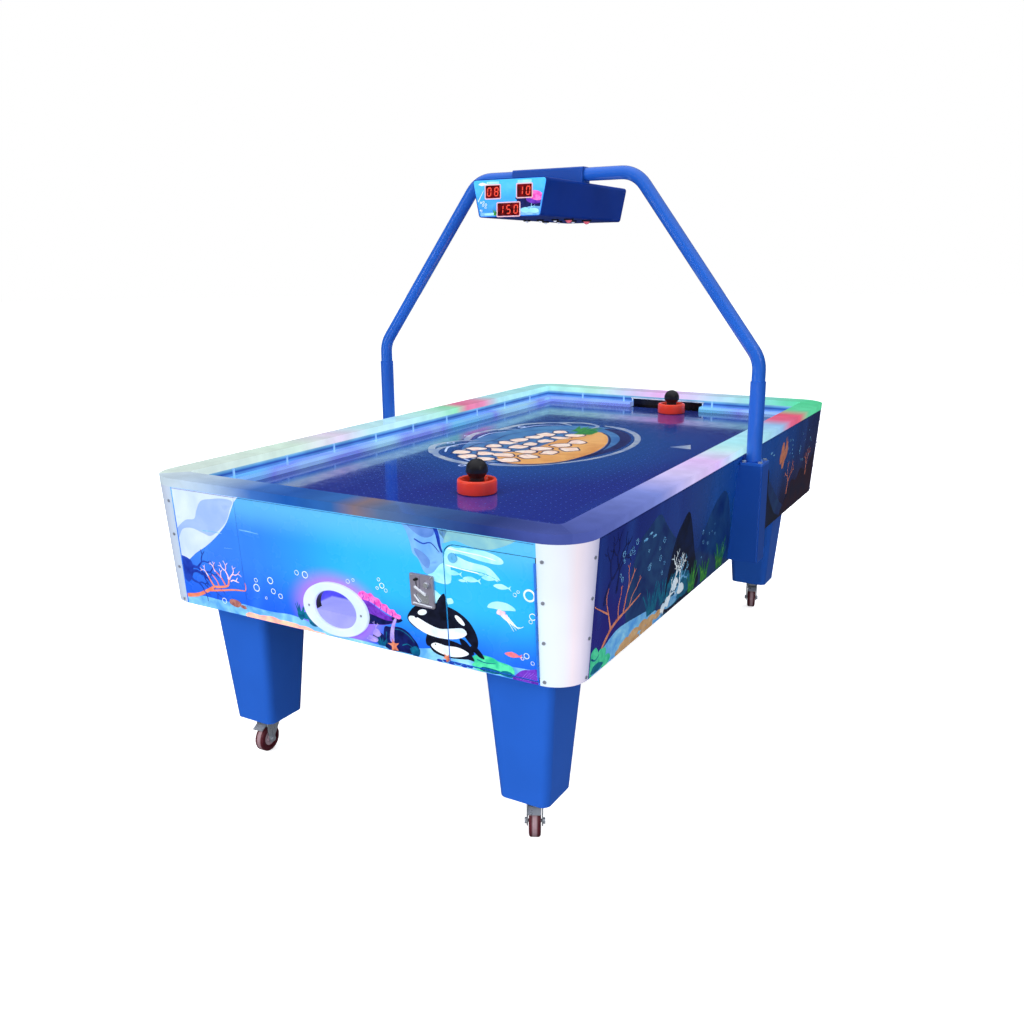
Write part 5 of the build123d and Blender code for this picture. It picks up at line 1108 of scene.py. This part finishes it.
table_print("swirls", each(stroke, ([(-100, -320), (-190, -300), (-290, -240), (-330, -150), (-300, -90)],
    30, 12), ([(-300, -240), (-372, -130), (-350, -20), (-290, 20)], 26, 10),
    ([(-330, 0), (-372, 120), (-350, 240), (-280, 280)], 26, 10),
    ([(-340, 230), (-320, 380), (-230, 470), (-150, 440)], 26, 10),
    ([(-230, 470), (-130, 512), (-60, 470), (-60, 410)], 22, 10),
    ([(-60, -300), (20, -280), (96, -220), (120, -180)], 18, 8),
    ([(-250, -120), (-210, -210), (-120, -250), (-60, -262)], 22, 10)), "wave", 2)
table_print("foam", each(stroke, ([(-280, -200), (-318, -120), (-300, -40), (-250, 0)], 8, 4),
    ([(-320, 60), (-330, 150), (-300, 220)], 8, 4), ([(-290, 300), (-260, 390), (-180, 430)], 8, 4),
    ([(-200, -240), (-130, -284), (-50, -282), (20, -262)], 7, 3))
    + each(bubble, (-352, -60, 12, 4), (-300, 330, 12, 4), (-120, -350, 10, 4), (-376, 80, 9, 3)), "reflection_and_foam",
    4)
table_print("outlines", each(stroke, ([(-236, -150), (-262, -60), (-250, 60), (-262, 160), (-230, 270),
    (-170, 350)], 6, 4), ([(-170, -260), (-236, -200), (-250, -140)], 6, 4),
    ([(-180, 300), (-120, 360), (-60, 372)], 6, 4)), "outline", 3)

# Four rows of stones along the beach. Each row: first and last middle, and count.
rng = random.Random(9)
stone_rows = []
for row, (start, stop, count) in enumerate((((-232, -176), (-126, 300), 8), ((-176, -226), (-50, 262), 8),
                                            ((-108, -236), (14, 150), 6), ((-44, -214), (52, 20), 4))):
    for i in range(count):
        t = i / (count - 1)
        px = start[0] + (stop[0] - start[0]) * t + rng.uniform(-5, 5)
        py = start[1] + (stop[1] - start[1]) * t + rng.uniform(-5, 5)
        stone_rows.append((px, py, rng.uniform(26, 34), rng.uniform(24, 34), 300 + 10 * row + i))
table_print("stone_lines", [blob(x, y, a + 6, b + 6, seed, 0.26) for x, y, a, b, seed in stone_rows],
    "outline", 5)
table_print("stones", [blob(x, y, a, b, seed, 0.26) for x, y, a, b, seed in stone_rows], "pebble", 6)
table_print("leaves", blades(-70, 330, 60, 120, 9, 331, 24) + [blob(-40, 330, 40, 50, 332, 0.3)], "leaf", 7)
table_print("marker", [[Vector((315, 212)), Vector((388, 206)), Vector((362, 278))]], "wave", 0)

# ---------------------------------------------------------------- scoreboard faces

FACE_LOW, FACE_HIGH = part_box("score_faces")
FACE_MID_Z = (FACE_LOW.z + FACE_HIGH.z) / 2
FACE_FRONT = plane((0, FACE_LOW.y, FACE_MID_Z), (1, 0, 0), (0, 0, 1))
FACE_BACK = plane((0, FACE_HIGH.y, FACE_MID_Z), (-1, 0, 0), (0, 0, 1))
# Middle, width, height and text of each display, mm.
WINDOWS = ((-52.0, 17.0, 46.0, 34.0, "08"), (49.0, 17.0, 46.0, 34.0, "10"), (-2.0, -31.0, 70.0, 34.0, "150"))
FACE_TOP, FACE_BOTTOM, FACE_UP = 111.0, 93.0, 47.0   # half widths at top and bottom, and half height
DIGIT_WIDE, DIGIT_HIGH, SLANT = 0.46, 0.62, 0.08     # shares of a digit's place, and its lean
BAR, BAR_GAP = 1.5, 0.4                              # half thickness and end gap of a segment, mm
BORDER_WIDE, BORDER_HIGH = 3.0, 1.6
NUMERAL_LIFT, NUMERAL_THICK = 1.15, 0.4
SEGMENTS = {"0": "abcdef", "1": "bc", "5": "acdfg", "8": "abcdefg"}


def face_edges():
    """Half-planes of the printed face, which narrows downwards."""
    slope = Vector((2 * FACE_UP, -(FACE_TOP - FACE_BOTTOM))).normalized()
    return (at_least_y(-FACE_UP), at_most_y(FACE_UP), ((FACE_TOP, FACE_UP), tuple(slope)),
            ((-FACE_TOP, FACE_UP), (-slope.x, slope.y)))


def score(name, shapes, tone, layer):
    """Prints on both scoreboard faces."""
    for label, where in (("front", FACE_FRONT), ("back", FACE_BACK)):
        printed(f"score_{label}_{name}", shapes, where, tone, layer, "cabinet", (face_edges(),),
            "score_print")


def rounded_box(x, y, wide, high, r, count=4):
    """A rectangle's outline with rounded corners."""
    made = []
    for i, (sx, sy) in enumerate(((1, 1), (-1, 1), (-1, -1), (1, -1))):
        for k in range(count + 1):
            a = math.radians(90 * i + 90 * k / count)
            made.append(Vector((x + sx * (wide / 2 - r) + r * math.cos(a),
                                y + sy * (high / 2 - r) + r * math.sin(a))))
    return made


score("sea_floor", [curve((-110, -38), (-60, -40), (10, -44), (34, -36), (50, -24), (80, -20), (112, -16),
    (112, -60), (-110, -60))], "sky", 0)
score("rock", [curve((34, -4), (60, -8), (90, -6), (112, -14), (112, -26), (70, -24), (40, -30), (22, -14)),
    blob(40, -3, 20, 6, 401)], "midnight", 1)
score("clam", [curve((60, 8), (74, 16), (90, 15), (104, 8), (110, -2), (96, -10), (76, -8), (62, 0))],
    "pink", 2)
score("clam_shade", [curve((56, 0), (78, -8), (100, -12), (104, -16), (76, -18), (56, -10))], "purple", 3)
score("shells", each(blob, (50, -34, 14, 7, 402), (78, -36, 16, 6, 403), (-60, -42, 22, 4, 404))
    + branches(64, -34, 0.9, 10, 3, 2, 405), "ice", 2)
score("plant", blades(-46, -46, 10, 24, 6, 406, 4) + [blob(-40, -42, 10, 5, 407)], "leaf", 2)
score("labels", [rounded_box(-52, 39, 40, 10, 2), rounded_box(49, 40, 44, 10, 2),
    rounded_box(0, -50, 38, 9, 2)], "ice", 1)
score("flecks", bubbles(-84, -14, 14, 22, 9, 3.2, 408) + [stroke([(-104, -14), (-92, 6), (-82, 22)], 2.2,
    1), fish(-84, 38, 30, -1)], "white", 2)


def window_trim(name, where):
    """A pale raised border round each display and lit seven-segment numerals in it."""
    border, digit_verts, digit_faces = ([], []), [], []
    for x, y, wide, high, text in WINDOWS:
        outer = rounded_box(x, y, wide + 2 * BORDER_WIDE, high + 2 * BORDER_WIDE, 4)
        inner = rounded_box(x, y, wide + 0.6, high + 0.6, 2)
        add_layer(*border, (outer, inner, True), (), BORDER_HIGH, BORDER_HIGH)
        pitch = wide / len(text)
        for i, letter in enumerate(text):
            cx = x + (i - (len(text) - 1) / 2) * pitch
            dw, dh = pitch * DIGIT_WIDE, high * DIGIT_HIGH
            spots = {"a": (0, dh / 2, 1), "d": (0, -dh / 2, 1), "g": (0, 0, 1), "b": (dw / 2, dh / 4, 0),
                     "c": (dw / 2, -dh / 4, 0), "f": (-dw / 2, dh / 4, 0), "e": (-dw / 2, -dh / 4, 0)}
            for key in SEGMENTS[letter]:
                sx, sy, level = spots[key]
                half, t = (dw / 2 if level else dh / 4) - BAR_GAP, BAR
                bar = [(-half, 0), (-half + t, t), (half - t, t), (half, 0), (half - t, -t), (-half + t, -t)]
                bar = [(a, b) if level else (b, a) for a, b in bar]
                points = [Vector((cx + sx + a + SLANT * (sy + b), y + sy + b)) for a, b in bar]
                add_layer(digit_verts, digit_faces, points, (), NUMERAL_LIFT, NUMERAL_THICK)
    build(f"{name}_borders", *border, where, "cabinet", BORDER, "score_print")
    build(f"{name}_numerals", digit_verts, digit_faces, where, "cabinet", NUMERAL, "display_red")


BORDER = moulded("display_border", rgb(244, 196, 208), 0.35)
NUMERAL = Look("numeral_red", rough=0.3, colour=rgb(120, 20, 14))
NUMERAL.put(glow=NUMERAL.ramp(NUMERAL.noise(400.0), (0.3, 250, 50, 34), (0.7, 255, 104, 74)), power=0.9)
NUMERAL.peel(600.0, 0.02)
window_trim("score_front", FACE_FRONT)
window_trim("score_back", FACE_BACK)

# ---------------------------------------------------------------- small solid details


def skin(rings, count):
    """Faces between rings of count vertices, with a cap at each end."""
    faces = []
    for k in range(rings - 1):
        for i in range(count):
            j = (i + 1) % count
            faces.append([k * count + i, k * count + j, (k + 1) * count + j, (k + 1) * count + i])
    faces.append(list(reversed(range(count))))
    faces.append([(rings - 1) * count + i for i in range(count)])
    return faces


def turned(profile, count=24):
    """Vertices and faces of a closed body of revolution about the local out axis: (radius, height)."""
    verts = []
    for r, h in profile:
        verts += [(r * math.cos(2 * math.pi * i / count), r * math.sin(2 * math.pi * i / count), h)
                  for i in range(count)]
    return verts, skin(len(profile), count)


def placed(parts):
    """Joins (verts, faces, offset) into one mesh."""
    verts, faces = [], []
    for part_verts, part_faces, (dx, dy, dz) in parts:
        start = len(verts)
        verts += [(x + dx, y + dy, z + dz) for x, y, z in part_verts]
        faces += [[start + i for i in f] for f in part_faces]
    return verts, faces


def bar_mesh(wide, long, thick, chamfer):
    """A block with all its upright and top edges chamfered, standing on its bottom face."""
    w, d, c = wide / 2, long / 2, chamfer

    def ring(inset, z):
        a, b = w - inset, d - inset
        return [(a - c, b, z), (-a + c, b, z), (-a, b - c, z), (-a, -b + c, z), (-a + c, -b, z),
            (a - c, -b, z), (a, -b + c, z), (a, b - c, z)]

    rings = (ring(0, 0), ring(0, thick - c), ring(c * 0.6, thick))
    return [corner for one in rings for corner in one], skin(len(rings), len(rings[0]))


# Clear brackets that hold the light wall, about every 200 mm along the inner rails.
WALL_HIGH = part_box("rail_light_walls")[1]
PUCK_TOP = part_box("puck_rails")[1].z
CLEAR = Look("clear_bracket", rough=0.12, coat=0.5, coat_rough=0.05)
# The clear plastic glows pale blue: painted light from the light wall beside it.
CLEAR.put(colour=CLEAR.mix(CLEAR.noise(80.0), rgb(110, 160, 220), rgb(150, 196, 240)),
          glow=rgb(150, 204, 250), power=0.42)
CLEAR.peel(300.0, 0.02)
BRACKET_WIDE, BRACKET_LONG, BRACKET_CHAMFER = 7.0, 3.4, 0.8   # mm
BRACKET_HIGH = (WALL_HIGH.z - PUCK_TOP) / MM - 17.0
BRACKET_INSET = 0.0057
SIDE_PITCH, END_PITCH = 0.21, 0.19
brackets = []
for sign in (-1, 1):
    brackets += [(sign, 0, i * SIDE_PITCH) for i in range(-4, 5)]
    brackets += [(0, sign, i * END_PITCH) for i in (-2, -1, 1, 2)]
for n, (sx, sy, offset) in enumerate(brackets):
    verts, faces = bar_mesh(BRACKET_WIDE, BRACKET_LONG, BRACKET_HIGH, BRACKET_CHAMFER)
    if sx:
        at = plane((sx * (WALL_HIGH.x - BRACKET_INSET), offset, PUCK_TOP), (0, 1, 0), (-1, 0, 0))
    else:
        at = plane((offset, sy * (WALL_HIGH.y - BRACKET_INSET), PUCK_TOP), (1, 0, 0), (0, 1, 0))
    build(f"wall_bracket_{n:02d}", verts, faces, at, "cabinet", CLEAR, "rail_blue_light")

# Pale lip round each goal mouth, in mm above the playfield.
GOAL_LIP = [(-151, 20), (-151, 31), (-144, 33), (0, 33), (144, 33), (151, 31), (151, 20)]
GOAL_INSET = 0.004
for label, sign in (("front", -1), ("back", 1)):
    at = plane((0.0, sign * (WALL_HIGH.y - GOAL_INSET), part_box("playfield")[1].z), (-sign, 0, 0), (0, 0, 1))
    at = at @ Matrix.Rotation(math.pi, 4, "Y")
    verts, faces = [], []
    add_layer(verts, faces, stroke(GOAL_LIP, 4.5), (), 1.6, 1.5)
    build(f"goal_lip_{label}", verts, faces, at, "cabinet", INKS["white"], "rail_blue_light")

# Screws in the puck return rings.
SCREW_OUT, SCREW_UP = 77.5, 6.2   # from the ring's middle, and above the panel, mm
SCREW_HEAD = turned([(3.6, 0.0), (3.6, 1.2), (3.0, 1.9), (1.6, 2.1), (1.5, 1.3), (0.4, 1.2)])
for label, where in (("front", FRONT), ("back", BACK)):
    ring_up = (RING_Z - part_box("bottom_board")[0].z) / MM
    parts = [(*SCREW_HEAD, (RING_X / MM + sign * SCREW_OUT, ring_up, SCREW_UP)) for sign in (-1, 1)]
    build(f"port_screws_{label}", *placed(parts), where, "cabinet", LOOKS["screw_steel"], "screw_steel", 40)

# Mallet bases with rounded rims, whose undersides clear the playfield's print.
MALLET_RIM = [(2.0, 0.5), (48.6, 0.5), (51.0, 1.6), (52.4, 4.2), (52.4, 31.0), (51.8, 34.2), (50.2, 36.6),
    (48.0, 37.8), (45.4, 37.8), (43.6, 36.8), (42.6, 34.8), (39.5, 12.6), (38.6, 12.0), (2.0, 12.0)]
for label in ("front", "back"):
    base_low, base_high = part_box(f"mallet_base_{label}")
    middle = [(low + high) / 2 for low, high in zip(base_low, base_high)]
    at = plane((middle[0], middle[1], base_low.z), (1, 0, 0), (0, 1, 0))
    rimmed = build(f"mallet_rim_{label}", *turned(MALLET_RIM, 64), at, f"mallet_{label}",
        LOOKS["mallet_red"], "mallet_red", 35)
    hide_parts(f"mallet_base_{label}")

# Coin plate: the chrome lever with its two trims, a black piece as the slot's painted shade, and four rivets.
plate_low, plate_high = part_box("coin_plate")
COIN_X = (plate_low.x + plate_high.x) / 2 / MM
COIN_Y = (((plate_low.z + plate_high.z) / 2) - PANEL_FOOT_Z) / MM
LEVER_UP, SLOT_UP, RIVET_UP = 4.2, 6.2, 3.9   # above the panel, mm
RIVET_X, RIVET_Y = 26, 34                     # from the plate's middle, mm


def capsule(x0, y0, x1, y1, wide, thick, chamfer=0.8):
    """A rounded bar from one point to another, with softened top edges."""
    way = Vector((x1 - x0, y1 - y0))
    angle = math.atan2(way.y, way.x)
    outline = []
    for cx, cy, start in ((x1, y1, -90), (x0, y0, 90)):
        for k in range(9):
            a = angle + math.radians(start + 180 * k / 8)
            outline.append((cx, cy, math.cos(a), math.sin(a)))
    r = wide / 2
    rings = [(r, 0.0), (r, thick - chamfer), (r - chamfer * 0.4, thick - chamfer * 0.3),
        (r - chamfer, thick)]
    verts = [(cx + q * ca, cy + q * sa, h) for q, h in rings for cx, cy, ca, sa in outline]
    return verts, skin(len(rings), len(outline))


lever = placed([(*capsule(-16, 8, 8, -6, 6.5, 2.6), (COIN_X, COIN_Y, LEVER_UP)),
                (*capsule(-20, -12, -8, -26, 4.0, 2.0), (COIN_X, COIN_Y, LEVER_UP)),
                (*capsule(-24, -30, 24, -33.5, 3.0, 1.6), (COIN_X, COIN_Y, LEVER_UP))])
build("coin_lever", *lever, FRONT, "cabinet", LEVER, "chrome_trim", 40)
# A black piece raised over the slot stands in for the shade inside it: painted shade.
slot_shade = capsule(-17, 25, -9, 28, 6.0, 0.8, 0.3)
build("coin_slot_shade", *placed([(*slot_shade, (COIN_X, COIN_Y, SLOT_UP))]), FRONT, "cabinet",
    LOOKS["black_plastic"], "black_plastic", 40)
rivet = turned([(2.2, 0.0), (2.2, 0.8), (1.5, 1.5), (0.5, 1.7)], 16)
rivets = [(*rivet, (COIN_X + sx * RIVET_X, COIN_Y + sy * RIVET_Y, RIVET_UP))
          for sx in (-1, 1) for sy in (-1, 1)]
build("coin_rivets", *placed(rivets), FRONT, "cabinet", LOOKS["chrome_trim"], "chrome_trim", 40)

# Dark bezels round the lamps below the scoreboard.
LAMPS = ((-60.0, 7.0), (-15.0, 7.0), (35.0, 7.0), (80.0, 11.0))   # place across and radius, mm
LAMP_Y = 60.0
LAMP_PLANE = plane((0.0, 0.0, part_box("scoreboard_lamps")[1].z), (1, 0, 0), (0, -1, 0))
bezels = []
for x, r in LAMPS:
    collar = [(0.4, 0.0), (4.0, 0.0), (4.0, 3.2), (2.6, 4.6), (0.6, 4.6), (0.4, 0.0)]
    verts, faces = turned([(r + out, up) for out, up in collar])
    ring_faces = [f for f in faces if len(f) == 4]
    bezels += [(verts, ring_faces, (x, sign * LAMP_Y, 0.0)) for sign in (-1, 1)]
build("lamp_bezels", *placed(bezels), LAMP_PLANE, "cabinet", LOOKS["black_plastic"], "black_plastic", 40)

# ---------------------------------------------------------------- floor, light and camera

FLOOR_HALF = 40.0
floor_mesh = bpy.data.meshes.new("studio_floor")
corners = [(x * FLOOR_HALF, y * FLOOR_HALF, 0) for x, y in ((-1, -1), (1, -1), (1, 1), (-1, 1))]
floor_mesh.from_pydata(corners, [], [(0, 1, 2, 3)])
floor = add_object("studio_floor", floor_mesh)
pale = Look("studio_pale", rough=0.9, specular=0.0, power=0.72)
pale.put(colour=pale.mix(pale.noise(0.6), rgb(236, 237, 240), rgb(242, 243, 246)), glow=rgb(255, 255, 255))
floor_mesh.materials.append(pale.material)
floor.visible_diffuse = floor.visible_glossy = False

# A white backdrop all round, seen by the camera only, so that it doesn't wash out the gloss.
DOME_R, DOME_RINGS, DOME_SIDES = 38.0, 12, 48
dome_verts, dome_faces = [], []
for ring_no in range(DOME_RINGS + 1):
    a = math.radians(-6 + 94 * ring_no / DOME_RINGS)
    dome_verts += [(DOME_R * math.cos(a) * math.cos(2 * math.pi * i / DOME_SIDES),
                    DOME_R * math.cos(a) * math.sin(2 * math.pi * i / DOME_SIDES), DOME_R * math.sin(a))
                   for i in range(DOME_SIDES)]
for ring_no in range(DOME_RINGS):
    for i in range(DOME_SIDES):
        j = (i + 1) % DOME_SIDES
        a, b = ring_no * DOME_SIDES, (ring_no + 1) * DOME_SIDES
        dome_faces.append([a + j, a + i, b + i, b + j])
dome_mesh = bpy.data.meshes.new("studio_backdrop")
dome_mesh.from_pydata(dome_verts, [], dome_faces)
backdrop = Look("studio_backdrop", rough=1.0, specular=0.0, colour=(0.0, 0.0, 0.0, 1.0),
                glow=rgb(255, 255, 255), power=1.0)
dome_mesh.materials.append(backdrop.material)
dome = add_object("studio_backdrop", dome_mesh)
for kind in ("diffuse", "glossy", "transmission", "volume_scatter", "shadow"):
    setattr(dome, f"visible_{kind}", False)

# The studio is dim near the horizon, so that the gloss stays deep, and bright overhead.
SKY_LEVELS = ((0.0, 0.10), (0.30, 0.08), (0.49, 0.05), (0.68, 0.05), (0.80, 0.60), (1.0, 0.85))
world = bpy.data.worlds.new("studio_world")
SCENE.world = world
world.use_nodes = True
sky = world.node_tree
direction = sky.nodes.new("ShaderNodeTexCoord").outputs["Generated"]
split = sky.nodes.new("ShaderNodeSeparateXYZ")
sky.links.new(direction, split.inputs[0])
height = sky.nodes.new("ShaderNodeMapRange")
height.inputs["From Min"].default_value = -1.0
sky.links.new(split.outputs["Z"], height.inputs["Value"])
levels = sky.nodes.new("ShaderNodeValToRGB")
while len(levels.color_ramp.elements) < len(SKY_LEVELS):
    levels.color_ramp.elements.new(0.5)
for element, (at, bright) in zip(levels.color_ramp.elements, SKY_LEVELS):
    element.position = at
    element.color = (0.90 * bright, 0.95 * bright, bright, 1.0)
sky.links.new(height.outputs[0], levels.inputs[0])
sky.links.new(levels.outputs[0], sky.nodes["Background"].inputs["Color"])


def soft_light(name, at, target, size, power, colour, in_gloss=False):
    """An area light that looks at a target. Most don't show in the gloss."""
    data = bpy.data.lights.new(name, "AREA")
    data.shape = "RECTANGLE"
    data.size, data.size_y = size
    data.energy = power
    data.color = rgb(*colour)[:3]
    made = add_object(name, data)
    made.location = at
    made.rotation_euler = (Vector(target) - Vector(at)).to_track_quat("-Z", "Y").to_euler()
    made.visible_glossy = in_gloss


soft_light("key", (-2.4, -5.0, 2.2), (0.0, -0.6, 0.6), (3.0, 3.0), 215.0, (255, 252, 250))
soft_light("right_fill", (5.0, -2.4, 2.0), (0.3, 0.0, 0.6), (3.0, 3.0), 95.0, (246, 250, 255))
soft_light("top", (-0.6, 0.2, 4.6), (0.0, 0.0, 0.7), (3.5, 3.5), 80.0, (250, 252, 255))
soft_light("back_fill", (2.0, 5.6, 2.4), (0.0, 0.6, 0.6), (3.0, 3.0), 190.0, (250, 252, 255))
soft_light("left_fill", (-5.0, 1.6, 2.0), (0.0, 0.4, 0.6), (3.0, 3.0), 90.0, (246, 250, 255))
soft_light("low_fill", (1.2, -3.2, 0.35), (-0.3, -0.9, 0.3), (2.4, 0.6), 34.0, (250, 252, 255))
soft_light("edge_left", (-3.2, -3.6, 1.3), (0.0, -0.4, 0.7), (0.35, 2.4), 10.0, (255, 255, 255), True)
soft_light("edge_right", (3.6, -1.6, 2.6), (0.3, 0.2, 0.8), (0.35, 2.0), 8.0, (255, 255, 255), True)

SCENE.view_settings.view_transform = "Standard"

# The photograph's camera: where it stands, how far it turns left, down and over, and its lens.
CAMERA_AT = (1.392, -2.6825, 1.3182)
yaw, pitch, roll = (math.radians(angle) for angle in (29.93, 14.61, -0.344))
ahead = Vector((-math.sin(yaw) * math.cos(pitch), math.cos(yaw) * math.cos(pitch), -math.sin(pitch)))
level = Vector((math.cos(yaw), math.sin(yaw), 0.0))
upright = level.cross(ahead)
cam_x = level * math.cos(roll) + upright * math.sin(roll)
cam_y = upright * math.cos(roll) - level * math.sin(roll)
camera_data = bpy.data.cameras.new("camera")
camera_data.sensor_width = 36.0
camera_data.lens = 33.66
camera_data.clip_start = 0.05
camera_data.clip_end = 200.0
camera = add_object("camera", camera_data)
turned_to = Matrix((cam_x, cam_y, -ahead)).transposed().to_4x4()
camera.matrix_world = Matrix.Translation(CAMERA_AT) @ turned_to
SCENE.camera = camera
